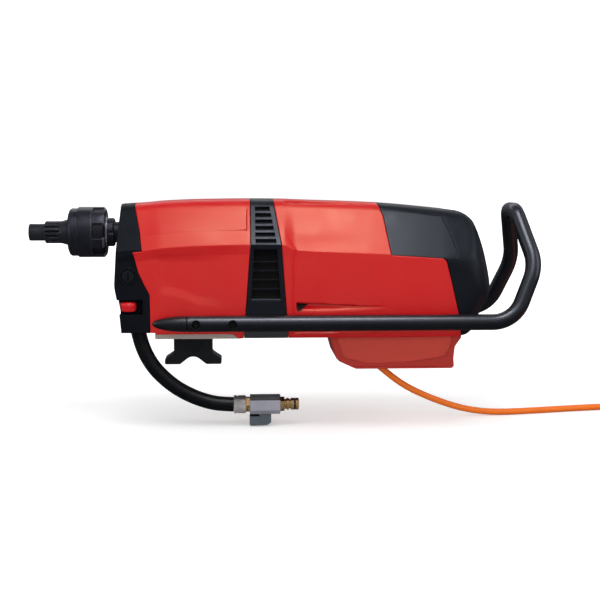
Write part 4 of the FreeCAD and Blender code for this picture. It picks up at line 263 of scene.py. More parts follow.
# The cable box's red is a lighter, paler copy of the shell red as painted sheen, and its outermost faces take
# a darker red as painted shade.
BOX_RED_LIT_AND_SHADED = finish("box_red_painted_sheen_and_shade", (0.58, 0.045, 0.038), 0.44, tint=(0.86, 0.90, 0.55), **RED_SHELL)
paint_outer_shade(BOX_RED_LIT_AND_SHADED, 0.0468, (0.46, 0.020, 0.022))
BLACK = finish("black_shell", (0.0052, 0.0064, 0.0100), 0.38, spec=0.32, tint=COLD, **BLACK_SHELL)
COVER = finish("cover_shell", (0.0042, 0.0052, 0.0078), 0.42, spec=0.14, tint=COLD, **BLACK_SHELL)
PANEL_BLACK = finish("panel_black", (0.0058, 0.0070, 0.0105), 0.36, spec=0.46, tint=COOL, **BLACK_SHELL)
BAND = finish("band_shell", (0.0060, 0.0072, 0.0105), 0.36, spec=0.40, tint=COOL, vary=0.1, depth=10)
# Painted light: a lighter grey for the vent band's lowest rows, lit from the floor below.
BAND_FOOT_LIT = finish("band_foot_painted_light", (0.036, 0.038, 0.040), 0.45, vary=0.12)
# Painted shade: near black for the floors of slots, grooves and seams and for dark openings, where shade
# falls.
SHADE_BLACK = finish("painted_shade_black", (0.0022, 0.0023, 0.0027), 0.75, spec=0.12, vary=0.2)
DARK = finish("dark_insert", (0.012, 0.0135, 0.017), 0.42, vary=0.12, bevel=0.5)
DIAL = finish("dial_black", (0.0060, 0.0070, 0.0100), 0.34, spec=0.25, depth=10)
WIRE = finish("screen_wire", (0.045, 0.03, 0.03), 0.5, depth=10)
PAINT = finish("handle_coat", (0.0045, 0.0052, 0.0075), 0.32, spec=0.95, tint=(0.84, 0.88, 1.0),
               rough_vary=0.03, grain=1900, depth=4, bevel=0.3, wear=(0.05, 0.05, 0.05), wear_amount=0.25)
TIP = finish("plug_satin", (0.0065, 0.0075, 0.0105), 0.33, spec=0.6, grain=1500, depth=6)
CAST_BLACK = finish("claw_coat", (0.0060, 0.0072, 0.0095), 0.42, vary=0.2, grain=520, depth=60, bevel=1.1,
                    wear=(0.07, 0.075, 0.085))
PLATE = finish("machined_plate", (0.42, 0.36, 0.32), 0.42, metal=0.25, vary=0.08, vary_scale=22, grain=240,
               depth=30, stretch=(0.12, 1, 1), bevel=0.5)
STEEL = finish("turned_steel", (0.42, 0.41, 0.40), 0.26, metal=1.0, vary=0.1, vary_scale=24, grain=420,
               stretch=(3.0, 0.4, 0.4), bevel=0.4)
OXIDE = finish("black_oxide_steel", (0.018, 0.0185, 0.030), 0.34, metal=0.45, vary=0.25, vary_scale=20,
               bevel=0.7, wear=(0.30, 0.30, 0.30), wear_amount=0.55, **TURNED)
NOSE = finish("worn_oxide_steel", (0.028, 0.032, 0.040), 0.34, metal=0.5, vary=0.3, vary_scale=24, bevel=0.6,
              wear=(0.33, 0.33, 0.33), wear_amount=0.6, **TURNED)
EDGE_STEEL = finish("bright_edge", (0.62, 0.62, 0.70), 0.30, metal=0.3, vary=0.1, **TURNED)
# Painted highlight: a lighter colour for the chuck sleeve's rear chamfer.
CHAMFER_HIGHLIGHT = finish("chamfer_painted_highlight", (0.16, 0.16, 0.20), 0.36, metal=0.5, **TURNED)
# Painted shade: a darker colour for the floors of the chuck sleeve's pockets.
POCKET_SHADE = finish("pocket_painted_shade", (0.0060, 0.0062, 0.0110), 0.45, spec=0.3, grain=520)
GEAR = finish("ground_steel", (0.30, 0.30, 0.31), 0.30, metal=1.0, vary=0.1, grain=520, depth=40, bevel=0.2)
ALLOY = finish("cast_alloy", (0.50, 0.51, 0.52), 0.45, metal=1.0, vary=0.08, grain=420, depth=60, bevel=0.6)
LAMINATE = finish("laminations", (0.16, 0.16, 0.17), 0.5, metal=0.9, vary=0.1, grain=900, depth=40,
                  stretch=(4.0, 0.05, 0.05), bevel=0.2)
COPPER = finish("winding", (0.58, 0.24, 0.10), 0.35, metal=0.9, vary=0.2, vary_scale=60, grain=500, depth=40,
                bevel=0.5)
# Painted reflection: the brass is darker on faces that look up.
BRASS = finish("turned_brass", (0.62, 0.40, 0.17), 0.27, metal=0.6, vary=0.16, vary_scale=45, grain=600,
               stretch=(3.0, 0.5, 0.5), bevel=0.4, wear=(0.85, 0.66, 0.35),
               painted_dark_top=((0.060, 0.020, 0.010), 0.1, 0.75))
# Painted reflection: the blasted alloy is darker on faces that look up.
ZINC = finish("blasted_alloy", (0.40, 0.40, 0.47), 0.42, metal=0.3, vary=0.08, vary_scale=40, grain=1400,
              depth=30, bevel=0.5, wear=(0.62, 0.62, 0.65), painted_dark_top=((0.020, 0.020, 0.024), 0.30, 0.50))
# Painted reflection: the crimped steel is darker on faces that look up and lighter below.
CRIMP = finish("crimped_steel", (0.62, 0.58, 0.58), 0.34, metal=0.35, vary_scale=60, grain=900, depth=30,
               bevel=0.5, painted_dark_top=((0.10, 0.09, 0.09), -0.15, 0.7))
LEVER = finish("lever_plastic", (0.085, 0.105, 0.125), 0.44, vary=0.08, grain=1500, bevel=0.8)
HOSE = finish("hose_rubber", (0.0024, 0.0032, 0.0046), 0.30, spec=0.45, vary=0.2, vary_scale=16, grain=1700)
RUBBER = finish("soft_rubber", (0.012, 0.012, 0.013), 0.5, bevel=0.6)
SHEATH = finish("orange_sheath", (1.0, 0.20, 0.012), 0.40, vary=0.05, vary_scale=30, grain=1500)
SCREW = finish("black_screw", (0.02, 0.02, 0.021), 0.28, metal=0.7, grain=900, depth=40, bevel=0.3,
               wear=(0.3, 0.3, 0.3))
BOARD = finish("circuit_board", (0.015, 0.10, 0.04), 0.35, grain=900, depth=40, bevel=0.3)
KNOB = finish("knob_red", (0.62, 0.010, 0.014), 0.28, vary=0.05, vary_scale=30, depth=10, bevel=0.4)
GREEN = finish("button_green", (0.03, 0.28, 0.08), 0.35, vary=0.05, depth=10, bevel=0.7)
GREY = finish("button_grey", (0.17, 0.17, 0.18), 0.38, vary=0.05, depth=10, bevel=0.7)
SMOKE = finish("smoked_window", (0.016, 0.006, 0.008), 0.08, vary=0.1, grain=300, depth=4, bevel=0.4,
               coat=0.6, coat_rough=0.03)

WEARS = {
    RED: ("front_hood", "rear_hood"),
    BOX_RED_LIT_AND_SHADED: ("cable_box",),
    BLACK: ("motor_cap", "side_panel", "control_panel"),
    COVER: ("gear_cover",),
    DARK: ("vent_band", "switch_block", "cooling_fan", "cord_tie"),
    PAINT: ("handle_tube",),
    CAST_BLACK: ("mounting_claw",),
    PLATE: ("interface_plate",),
    STEEL: ("valve_ball", "shaft_bearings", "plug_pins"),
    OXIDE: ("spindle", "chuck_body", "chuck_sleeve"),
    NOSE: ("drive_nose",),
    GEAR: ("spindle_gear", "countershaft", "counter_wheel", "rotor_shaft"),
    ALLOY: ("handle_spacers", "gear_case", "motor_housing", "rear_bracket", "heat_sink"),
    LAMINATE: ("rotor_core", "stator_core"),
    COPPER: ("stator_windings",),
    BRASS: ("hose_union", "valve_nipple", "coupling_plug", "water_block", "water_pipe", "water_ring"),
    ZINC: ("valve_body",),
    CRIMP: ("hose_ferrule",),
    LEVER: ("valve_lever",),
    RUBBER: ("handle_end_plugs", "cable_gland", "plug_body", "coupling_o_ring", "shaft_seal"),
    SCREW: ("handle_screws", "case_screws"),
    BOARD: ("power_board",),
    KNOB: ("flow_knob",),
    DIAL: ("indicator_wheel",),
    GREEN: ("on_button",),
    GREY: ("off_button",),
    SMOKE: ("display_window", "indicator_window"),
    HOSE: ("water_hose",),
    SHEATH: ("power_cord", "cord_coil", "plug_lead"),
}
for material, names in WEARS.items():
    for name in names:
        slots = NODES[name].material_slots
        if not len(slots):
            NODES[name].data.materials.append(material)
        for slot in slots:
            slot.material = material


# ---------------------------------------------------------------- skins of the body shells
# the hull's own values, in millimetres: the same as the CAD's
TOP_Z = 174.0
CREASE_Z = 118.0
HALF_WIDTH = 76.0
TOP_HALF = 33.0
BOTTOM_HALF = 68.5
TOP_ROUND = 26.0
CREASE_ROUND = 1.6
BOTTOM_ROUND = 7.0
UNDER_DROP = 12.0
LINE_SHARE = 0.70
SKIN = 2.2
SEAM = 0.25
STATIONS = (
    (-104.0, 7.5, 11.0, 1.5, 0.5, 1.5),
    (-58.0, 4.6, 7.2, 0.3, 1.4, 3.4),
    (-37.0, 2.6, 4.1, 0.0, 1.6, 3.6),
    (12.0, 0.6, 1.2, 0.0, 1.6, 3.4),
    (73.0, 0.0, 0.0, 0.0, 1.0, 2.0),
    (113.0, 0.3, 0.2, 0.0, 0.6, 1.2),
    (131.0, 1.0, 6.5, 0.2, 0.0, 0.2),
    (231.0, 4.7, 11.8, 0.4, 0.0, 0.0),
    (315.0, 12.0, 17.4, 2.4, 0.0, 0.0),
    (347.0, 16.0, 19.6, 5.0, 0.0, 0.0),
    (400.0, 24.0, 23.0, 12.0, 0.0, 0.0),
)
COVER_SEAM_HIGH = ((200.0, -72.0), (168.0, -71.6), (133.6, -63.6), (110.8, -60.3))
COVER_SEAM_LOW = ((109.6, -71.7), (84.4, -65.4), (68.2, -58.2), (56.3, -51.7), (-20.0, -50.9))
BAND_SEAM_FRONT = ((200.0, 74.4), (118.0, 74.1), (-20.0, 64.2))
BAND_SEAM_REAR = ((200.0, 97.6), (174.0, 102.6), (118.0, 112.2), (-20.0, 122.5))
CAP_SEAM_HIGH = ((200.0, 234.6), (169.0, 236.0), (152.0, 242.4), (104.8, 249.4))
CAP_SEAM_LOW = ((100.2, 315.4), (96.4, 319.2), (70.8, 326.2), (28.7, 336.6), (-20.0, 342.6))


def ease(low, high, value):
    t = min(1.0, max(0.0, (value - low) / (high - low)))
    return t * t * (3 - 2 * t)


def along(line, key):
    """Second value of a polyline at a first value; the first values may rise or fall."""
    if line[0][0] > line[-1][0]:
        line = line[::-1]
    if key <= line[0][0]:
        return line[0][1]
    for (a, p), (b, q) in zip(line, line[1:]):
        if key <= b:
            return p + (q - p) * (key - a) / (b - a)
    return line[-1][1]


def cubic(table, key):
    """Monotone cubic through a table of pairs in rising order."""
    i = 0
    while i < len(table) - 2 and key > table[i + 1][0]:
        i += 1

    def step(k):
        return (table[k + 1][1] - table[k][1]) / (table[k + 1][0] - table[k][0])

    def slope(k):
        if k in (0, len(table) - 1):
            return step(min(k, len(table) - 2))
        a, b = step(k - 1), step(k)
        return 0.0 if a * b <= 0 else 2 * a * b / (a + b)

    (a, p), (b, q) = table[i], table[i + 1]
    h = b - a
    t = min(1.0, max(0.0, (key - a) / h))
    return ((2 * t ** 3 - 3 * t * t + 1) * p + (t ** 3 - 2 * t * t + t) * slope(i) * h
            + (3 * t * t - 2 * t ** 3) * q + (t ** 3 - t * t) * slope(i + 1) * h)


HULL_LINES = [[(s[0], s[k]) for s in STATIONS] for k in range(1, 6)]


@functools.lru_cache(maxsize=64)
def station(x):
    """The hull's five values at x, on smooth lines through the stations."""
    return [cubic(line, x) for line in HULL_LINES]


def arc_ends(back, corner, ahead, radius):
    """Start and end of the arc that rounds a corner."""
    u, w = back - corner, ahead - corner
    reach = min(radius / math.tan(u.angle(w) / 2), 0.48 * u.length, 0.48 * w.length)
    return corner + u.normalized() * reach, corner + w.normalized() * reach


def arc_point(back, corner, ahead, radius, t):
    """Point of that arc at share t of its angle."""
    start, end = arc_ends(back, corner, ahead, radius)
    u, w = (start - corner), (end - corner)
    half = u.angle(w) / 2
    middle = corner + (u + w).normalized() * (u.length / math.cos(half))
    a, b = start - middle, end - middle
    turn = a.angle_signed(b)
    cos, sin = math.cos(-turn * t), math.sin(-turn * t)
    return middle + Vector((a.x * cos - a.y * sin, a.x * sin + a.y * cos))


def shares(kind, count, first=0, last=None):
    """Rows of one kind, at even shares of its length."""
    return [(kind, k / count) for k in range(first, count if last is None else last)]


ROWS = (shares("top", 5) + shares("round", 23, 0, 24) + shares("high", 16, 1)
        + [("high", share) for share in (0.955, 0.966, 0.984, 0.994)] + shares("low", 10)
        + shares("crease", 4, 0, 5) + shares("under", 7, 1, 8) + shares("side", 76, 1)
        + shares("foot", 5, 0, 6) + shares("floor", 6, 1, 7))
CREASE_ROW = ROWS.index(("crease", 1.0))


def hull_point(x, row, floor_z=0.0, foot_round=BOTTOM_ROUND):
    """Place (y, z) of a row of the hull's half section at x."""
    top_drop, crease_drop, draw, fold, tuck = station(x)
    top = Vector((TOP_HALF - draw / 2, TOP_Z - top_drop))
    crease = Vector((HALF_WIDTH - draw, CREASE_Z - crease_drop))
    bottom = Vector((BOTTOM_HALF - draw, 0.0))
    slope = math.atan2(top.y - crease.y, crease.x - top.x)
    line = top + (crease - top) * LINE_SHARE + Vector((math.sin(slope), math.cos(slope))) * fold
    share = UNDER_DROP / (crease.y - bottom.y)
    under = Vector((crease.x + (bottom.x - crease.x) * share - tuck, crease.y - UNDER_DROP))
    foot = under + (bottom - under) * ((under.y - floor_z) / (under.y - bottom.y))
    low = Vector((0.0, floor_z))
    bends = {"round": (Vector((-top.x, top.y)), top, line, TOP_ROUND),
             "crease": (line, crease, under, CREASE_ROUND),
             "foot": (under, foot, low, foot_round)}
    kind, t = row
    if kind in bends:
        return arc_point(*bends[kind], t)
    into = {"top": (Vector((0.0, top.y)), "round"), "low": (line, "crease"), "side": (under, "foot")}
    if kind in into:
        start, bend = into[kind]
        return start.lerp(arc_ends(*bends[bend])[0], t)
    bend, end = {"high": ("round", line), "under": ("crease", under), "floor": ("foot", low)}[kind]
    return arc_ends(*bends[bend])[1].lerp(end, t)


def outward(before, after, kind):
    """Outward direction of a section between two of its points."""
    if kind in ("top", "floor"):
        return Vector((0.0, 1.0 if kind == "top" else -1.0))
    way = after - before
    return Vector((-way.y, way.x)).normalized()


def neighbours(index):
    return max(index - 1, 0), min(index + 1, len(ROWS) - 1)


EDGE_STEPS = (0.0, 0.12, 0.45, 1.1, 2.2)
EDGE_ROUND = 0.45


def edge_drop(reach):
    """How deep a skin lies at a distance from its rounded edge."""
    short = EDGE_ROUND - min(reach, EDGE_ROUND)
    return EDGE_ROUND - math.sqrt(max(0.0, EDGE_ROUND ** 2 - short ** 2))


def spaced(start, end, count):
    return [start + (end - start) * k / count for k in range(1, count)]


def after_edge(start):
    return [start + e for e in EDGE_STEPS]


def before_edge(end):
    return [end - e for e in reversed(EDGE_STEPS)]


def front_columns(block, z):
    """x of each column of the front hood; the rows under the crease reach further forward."""
    end = along(BAND_SEAM_FRONT, z) - 2 * SEAM
    step = end - 3.9
    tail = [step - 1.0, step - 0.65, step - 0.1, step + 0.25] + [end - e for e in (2.2, 1.1, 0.45, 0.12, 0)]
    high = along(COVER_SEAM_HIGH, 110.8 if block == "shared" else z) + SEAM
    low = along(COVER_SEAM_LOW, 109.6 if block == "shared" else z) + SEAM
    lead, body = 8, 60
    head = after_edge(low)
    if block == "lower":
        join = low + 11.4
        return head + spaced(head[-1], join, lead + 1) + [join] + spaced(join, tail[0], body + 4) + tail
    main = after_edge(high) + spaced(high + EDGE_STEPS[-1], tail[0], body) + tail
    if block == "upper":
        return [None] * (len(EDGE_STEPS) + lead) + main
    return head + spaced(head[-1], high, lead + 1) + main


def rear_columns(block, z):
    """x of each column of the rear hood; the rows under the crease reach further back."""
    start = along(BAND_SEAM_REAR, z) + 2 * SEAM
    lip, wide = start + along(LIP_WIDTH, z), lip_blend(z)
    head = after_edge(start)
    head += spaced(head[-1], lip - wide, 4) + [lip + wide * k / 3 for k in range(-3, 4)]
    high = along(CAP_SEAM_HIGH, 104.8 if block == "shared" else z) - SEAM
    low = along(CAP_SEAM_LOW, 100.2 if block == "shared" else z) - SEAM
    body, trail = 74, 48
    end = before_edge(low)
    if block == "lower":
        join = 249.15
        return head + spaced(head[-1], join, body + 4) + [join] + spaced(join, end[0], trail + 1) + end
    main = head + spaced(head[-1], high - EDGE_STEPS[-1], body) + before_edge(high)
    if block == "upper":
        return main + [None] * (len(EDGE_STEPS) + trail)
    return main + spaced(high, end[0], trail + 1) + end


def add_pair(bm, table, index, col, place, on_middle):
    """Vertex at a place in millimetres, and its twin across the middle plane."""
    x, y, z = place
    for side in (1, -1):
        if on_middle and side == -1:
            table[index, col, -1] = table[index, col, 1]
        else:
            table[index, col, side] = bm.verts.new((x * MM, 0.0 if on_middle else side * y * MM, z * MM))


def add_faces(bm, table, turned=False):
    """Faces between neighbouring rows and columns; gives each with the keys of its corners."""
    made = []
    for index, col, side in list(table):
        corners = [(index + down, col + on, side) for down, on in ((0, 0), (0, 1), (1, 1), (1, 0))]
        if all(c in table for c in corners):
            verts = list(dict.fromkeys(table[c] for c in corners))
            if len(verts) > 2:
                made.append((corners, bm.faces.new(verts[::-1] if turned and side > 0 else verts)))
    return made


def build_skin(name, columns, floor, field):
    """Red shell of the hull between two seams, with rounded edges and its own relief."""
    table = {}
    bm = bmesh.new()
    for index, (kind, _) in enumerate(ROWS):
        block = "upper" if index < CREASE_ROW else "shared" if index == CREASE_ROW else "lower"
        for col in range(len(columns("lower", 80.0))):
            z = 80.0
            for _ in range(4):
                row = columns(block, z)
                x = row[col]
                if x is None:
                    break
                z = hull_point(x, ROWS[index], *floor(x)).y
            if x is None:
                continue
            row = [v for v in row if v is not None]
            to_front, to_rear = x - row[0], row[-1] - x
            depth = field(x, z, kind, to_front, to_rear) + edge_drop(min(to_front, to_rear))
            before, after = (hull_point(x, ROWS[k], *floor(x)) for k in neighbours(index))
            place = hull_point(x, ROWS[index], *floor(x)) - outward(before, after, kind) * depth
            add_pair(bm, table, index, col, (x, *place), index in (0, len(ROWS) - 1))
    add_faces(bm, table, turned=True)
    return finish_mesh(name, bm, RED, 38, wall=SKIN)


def finish_mesh(name, bm, material, sharp, wall=0.0):
    bmesh.ops.recalc_face_normals(bm, faces=bm.faces)
    mesh = bpy.data.meshes.new(name)
    bm.to_mesh(mesh)
    bm.free()
    mesh.materials.append(material)
    for polygon in mesh.polygons:
        polygon.use_smooth = True
    mesh.set_sharp_from_angle(angle=math.radians(sharp))
    obj = put(name, mesh)
    if wall:
        solid = obj.modifiers.new("wall", "SOLIDIFY")
        solid.thickness = wall * MM
        solid.offset = -1.0
        solid.use_even_offset = False
    return obj


# relief of the front hood: a sunk field over the fold, and a dish in the flank with a soft ridge below it
FOLD_Z = ((-58.0, 128.3), (12.0, 133.8), (70.0, 135.6))
DISH_FLOOR = ((-50.5, 54.0), (-40.0, 58.0), (-29.0, 60.0), (-8.0, 55.0), (8.0, 48.5), (30.0, 44.5),
              (60.0, 42.5))
DISH_FRONT = ((100.0, -46.0), (58.0, -40.0))
DISH_DEPTH = 2.0
SUNK = 1.5
LINE_DEPTH = 0.8


def front_floor(x):
    if x < -45.4:
        return 8.0, 1.2
    return 6.05 - 5.75 * ease(49.5, 60.5, x) - 0.3 * ease(60.6, 61.6, x), 1.2 + 5.0 * ease(60.4, 62.4, x)


def front_relief(x, z, kind, to_front, to_rear):
    if kind in ("round", "high"):
        above = z - along(FOLD_Z, x)
        height = max(0.0, 1.0 - max(0.0, above) / 30.0)
        depth = SUNK * ease(3.8, 4.4, to_rear) * (0.25 + 0.75 * ease(-50.0, 50.0, x)) * height ** 1.3
        if (to_rear > 3.95 and 0.25 < above < 1.2) or (3.85 < to_rear < 4.65 and above < 25.0):
            depth += LINE_DEPTH * (0.4 + 0.6 * ease(-60.0, 20.0, x))
        return depth
    if kind in ("under", "side"):
        front = along(DISH_FRONT, z)
        low = cubic(DISH_FLOOR, x)
        depth = DISH_DEPTH * (1 - ease(-6.0, 52.0, x)) * ease(front, front + 9.0, x)
        return depth * ease(low - 6.0, low + 7.0, z) * (1 - ease(97.0, 108.0, z))
    return 0.0


# relief of the rear hood: a lip beside the vent band, a long intake groove low on each flank and a
# shallow one at each top edge
LIP_WIDTH = ((0.0, 7.0), (50.0, 8.7), (100.0, 13.0), (105.0, 14.5), (112.0, 17.0), (118.0, 13.5),
             (127.0, 9.4), (136.0, 7.5))
GROOVE_X = (130.8, 249.0)
GROOVE_HIGH = ((130.8, 44.9), (180.0, 43.0), (249.0, 39.4))
GROOVE_LOW = ((130.8, 34.0), (165.0, 33.2), (205.0, 34.9), (249.0, 38.8))
GROOVE_DEPTH = 8.0
TOP_GROOVE_X = (117.5, 226.0)
TOP_GROOVE_DEPTH = 4.2
FLANK_SUNK = 1.4
LIP_RAISED = 0.5


def lip_blend(z):
    """Half the width of the lip's edge: soft on the flank, sharp on the shoulder."""
    return 2.4 - 1.7 * ease(106.0, 120.0, z)


def rear_floor(x):
    return 0.0, BOTTOM_ROUND


def groove_depth(x, z):
    t = (x - GROOVE_X[0]) / (GROOVE_X[1] - GROOVE_X[0])
    if not 0.0 <= t <= 1.0:
        return 0.0
    low, high = along(GROOVE_LOW, x), along(GROOVE_HIGH, x)
    v = (z - low) / (high - low)
    across = ease(0.0, 0.75, v) * (1 - ease(0.90, 1.02, v))
    return GROOVE_DEPTH * (1 - t) ** 1.1 * across * ease(0.0, 0.008, t)


def rear_relief(x, z, kind, to_front, to_rear):
    lip = along(LIP_WIDTH, z)
    past = ease(lip - lip_blend(z), lip + lip_blend(z), to_front)
    depth = past * FLANK_SUNK * (1 - ease(150.0, 235.0, x)) - LIP_RAISED * (1 - past)
    if kind in ("crease", "under", "side"):
        return depth + (groove_depth(x, z) if kind == "side" else 0.0)
    if kind in ("low", "high", "round"):
        depth *= 1 - ease(116.0, 135.0, z)
        t = (x - TOP_GROOVE_X[0]) / (TOP_GROOVE_X[1] - TOP_GROOVE_X[0])
        if 0.0 < t < 1.0:
            down = TOP_Z - station(x)[0] - z
            high, low = 1.5 + 1.0 * t, 6.4 - 3.2 * t
            v = (down - high) / (low - high)
            across = ease(0.0, 0.18, v) * (1 - ease(0.35, 1.0, v))
            depth += TOP_GROOVE_DEPTH * (1 - t) ** 0.8 * across * ease(0.0, 0.02, t)
        return depth
    return 0.0


front = build_skin("front_hood_skin", front_columns, front_floor, front_relief)
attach(front, "housing")
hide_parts("front_hood")
rear = build_skin("rear_hood_skin", rear_columns, rear_floor, rear_relief)
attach(rear, "housing")
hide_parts("rear_hood")


# ---------------------------------------------------------------- motor cap and its near panel
# the rear face's own values, in millimetres: the same as the CAD's
TAIL_X = 385.5
TAIL_LINE = ((-30.0, -42.0), (-8.0, -30.0), (5.0, -23.0), (16.0, -18.3), (27.4, -13.3), (36.5, -8.8),
             (43.0, -5.2), (50.0, -2.0), (58.7, -0.1), (67.8, -0.7), (78.0, -2.3), (90.0, -4.7),
             (101.7, -7.4), (113.4, -10.6), (125.0, -14.4), (139.4, -20.3), (147.0, -24.6), (153.0, -29.6),
             (156.8, -34.6), (159.4, -41.2), (161.2, -49.8), (162.7, -62.0), (164.9, -84.0), (169.0, -116.0),
             (177.0, -152.0), (192.0, -205.0))
TAIL_BOW = ((0.0, 0.0), (15.0, 0.5), (30.0, 2.7), (45.0, 7.3), (52.0, 10.5), (60.0, 15.5), (64.0, 19.2),
            (68.0, 25.3), (71.0, 32.2), (74.0, 41.8), (78.0, 57.0), (90.0, 105.0))
PANEL = ((236.6, 163.0), (318.6, 151.7), (327.3, 130.6), (333.2, 111.6), (333.9, 97.0), (247.5, 97.0))
PANEL_GAP = 0.35
CAP_JOIN = 315.65
CAP_MIDDLE_Z = 78.0
CAP_ROUND = 10.0
CAP_SOFT = 7.0


def tail_x(y, z):
    return TAIL_X + cubic(TAIL_LINE, z) - cubic(TAIL_BOW, abs(y))


def soft_section(x):
    """Half section of the hull at x, its folds smoothed out more and more towards the rear."""
    points = [hull_point(x, row) for row in ROWS]
    spread_by = CAP_SOFT * ease(311.0, 345.0, x)
    if spread_by < 0.2:
        return points
    mirrored = [Vector((-p.x, p.y)) for p in points[1:]]
    loop = mirrored[::-1] + points + mirrored[-2::-1]
    lengths = [0.0]
    for a, b in zip(loop, loop[1:]):
        lengths.append(lengths[-1] + (b - a).length)
    first = len(mirrored)
    result = []
    for i in range(len(points)):
        here = lengths[first + i]
        total, weight = Vector((0.0, 0.0)), 0.0
        j = first + i
        for way in (-1, 1):
            k = j if way < 0 else j + 1
            while 0 < k < len(loop) - 1 and abs(lengths[k] - here) < 3 * spread_by:
                share = (lengths[k + 1] - lengths[k - 1]) / 2
                w = share * math.exp(-0.5 * ((lengths[k] - here) / spread_by) ** 2)
                total += loop[k] * w
                weight += w
                k += way
        result.append(total / weight)
    return result


CAP_STEP = 3.0
CAP_SECTIONS = [soft_section(300.0 + CAP_STEP * k) for k in range(34)]


def cap_point(x, index):
    if x < 300.0:
        return hull_point(x, ROWS[index])
    k = min((x - 300.0) / CAP_STEP, len(CAP_SECTIONS) - 1.001)
    low = int(k)
    return CAP_SECTIONS[low][index].lerp(CAP_SECTIONS[low + 1][index], k - low)


def cap_corner(start, index):
    """x where a row of the hull meets the rear face."""
    low, high = start + 0.4, 397.0
    for _ in range(30):
        middle = (low + high) / 2
        p = cap_point(middle, index)
        if tail_x(p.x, p.y) > middle:
            low = middle
        else:
            high = middle
    return (low + high) / 2


def cap_row(index):
    """Points (x, y, z) of one row, from the seam to the middle of the rear face."""
    if index < CREASE_ROW:
        start = 245.0
        for _ in range(4):
            start = along(CAP_SEAM_HIGH, cap_point(start, index).y) + SEAM
        lead = after_edge(start) + spaced(start + EDGE_STEPS[-1], CAP_JOIN, 34)
        low = CAP_JOIN
    else:
        low = 330.0
        for _ in range(5):
            low = along(CAP_SEAM_LOW, cap_point(low, index).y) + SEAM
        start = low
        lead = [None] * (len(EDGE_STEPS) + 33)
    corner = cap_corner(low, index)
    reach = min(CAP_ROUND, 0.9 * (corner - low))
    edge = min(1.0, (corner - reach - low) / (2 * EDGE_STEPS[-1]))
    body = [low + e * max(0.02, edge) for e in EDGE_STEPS]
    body += spaced(body[-1], corner - reach, 15) + [corner - reach]
    row = []
    for x in lead + body:
        if x is None:
            row.append(None)
            continue
        before, after = (cap_point(x, k) for k in neighbours(index))
        place = cap_point(x, index) - outward(before, after, ROWS[index][0]) * edge_drop(x - start)
        row.append(Vector((x, *place)))
    tip = cap_point(corner, index)
    turn = Vector((corner, *tip))
    pole = Vector((0.0, CAP_MIDDLE_Z))
    share = min(0.6, CAP_ROUND / (tip - pole).length)

    def on_back(w):
        p = tip.lerp(pole, w)
        return Vector((tail_x(p.x, p.y), *p))

    first, last = row[-1], on_back(share)
    for k in range(1, 9):
        t = k / 9
        row.append(first * (1 - t) ** 2 + turn * 2 * t * (1 - t) + last * t * t)
    for k in range(15):
        row.append(on_back(share + (1 - share) * k / 15))
    return row


def panel_sides():
    """Each side of the shoulder panel's outline in the side view: its first corner and its way out."""
    corners = [Vector(c) for c in PANEL]
    for a, b in zip(corners, corners[1:] + corners[:1]):
        way = (b - a).normalized()
        yield a, Vector((-way.y, way.x))


def panel_distance(place):
    """How far outside the panel's outline a place in metres lies; negative inside."""
    flat = place.xz / MM
    return max((flat - corner).dot(out) for corner, out in panel_sides())


def build_cap():
    bm = bmesh.new()
    table = {}
    pole = bm.verts.new((TAIL_X * MM + cubic(TAIL_LINE, CAP_MIDDLE_Z) * MM, 0.0, CAP_MIDDLE_Z * MM))
    for index in range(len(ROWS)):
        row = cap_row(index)
        for col, point in enumerate(row):
            if point is not None:
                add_pair(bm, table, index, col, point, index in (0, len(ROWS) - 1))
        for side in (1, -1):
            table[index, len(row), side] = pole
    add_faces(bm, table)
    for corner, out in panel_sides():
        for inwards in (0.0, PANEL_GAP):
            near = [f for f in bm.faces if panel_distance(f.calc_center_median()) < 6.0
                    and abs(f.calc_center_median().y) > 0.02]
            geom = list({e for f in near for e in f.edges}) + near + list({v for f in near for v in f.verts})
            cut = (corner - out * inwards) * MM
            bmesh.ops.bisect_plane(bm, geom=geom, dist=1e-7, plane_co=(cut.x, 0.0, cut.y),
                                   plane_no=(out.x, 0.0, out.y))
    panel = bmesh.new()
    copies = {}
    gone = []
    for face in bm.faces:
        centre = face.calc_center_median()
        if abs(centre.y) < 18.0 * MM:
            continue
        outside = panel_distance(centre)
        if outside > 0:
            continue
        gone.append(face)
        if centre.y < 0 and outside < -PANEL_GAP:
            for v in face.verts:
                if v not in copies:
                    copies[v] = panel.verts.new(v.co)
            panel.faces.new([copies[v] for v in face.verts])
    bmesh.ops.delete(bm, geom=gone, context="FACES")
    return (finish_mesh("motor_cap_skin", bm, BLACK, 38, wall=SKIN),
            finish_mesh("side_panel_skin", panel, PANEL_BLACK, 38, wall=SKIN))


cap, shoulder = build_cap()
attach(cap, "housing")
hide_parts("motor_cap")
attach(shoulder, "housing")
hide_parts("side_panel")


# ---------------------------------------------------------------- vent band
SLOTS = 6
SLOT_TOP = 164.4
SLOT_PITCH = 7.85
SLOT_HEIGHT = 5.4
SLOT_LEFT = 80.2
LEDGES = (107.5, 96.4, 85.1, 73.8, 62.2, 50.3)
FIELD = (112.4, 45.0)
FIELD_DEPTH = 4.4
FOOT_TOP = 12.0
# depth past which a pocket's faces are painted shade
DEEP_FROM = 2.9


def slot_bounds(k):
    top = SLOT_TOP - SLOT_PITCH * k
    return top, top - SLOT_HEIGHT


def band_sides(z):
    """Left and right edge of the pockets at a height."""
    if z > 118.0:
        return SLOT_LEFT, 98.2 + 8.2 * (SLOT_TOP - z) / (SLOT_TOP - slot_bounds(SLOTS - 1)[1])
    share = (FIELD[0] - z) / (FIELD[0] - FIELD[1])
    return 78.6 - 4.2 * share, along(BAND_SEAM_REAR, z) - 6.0


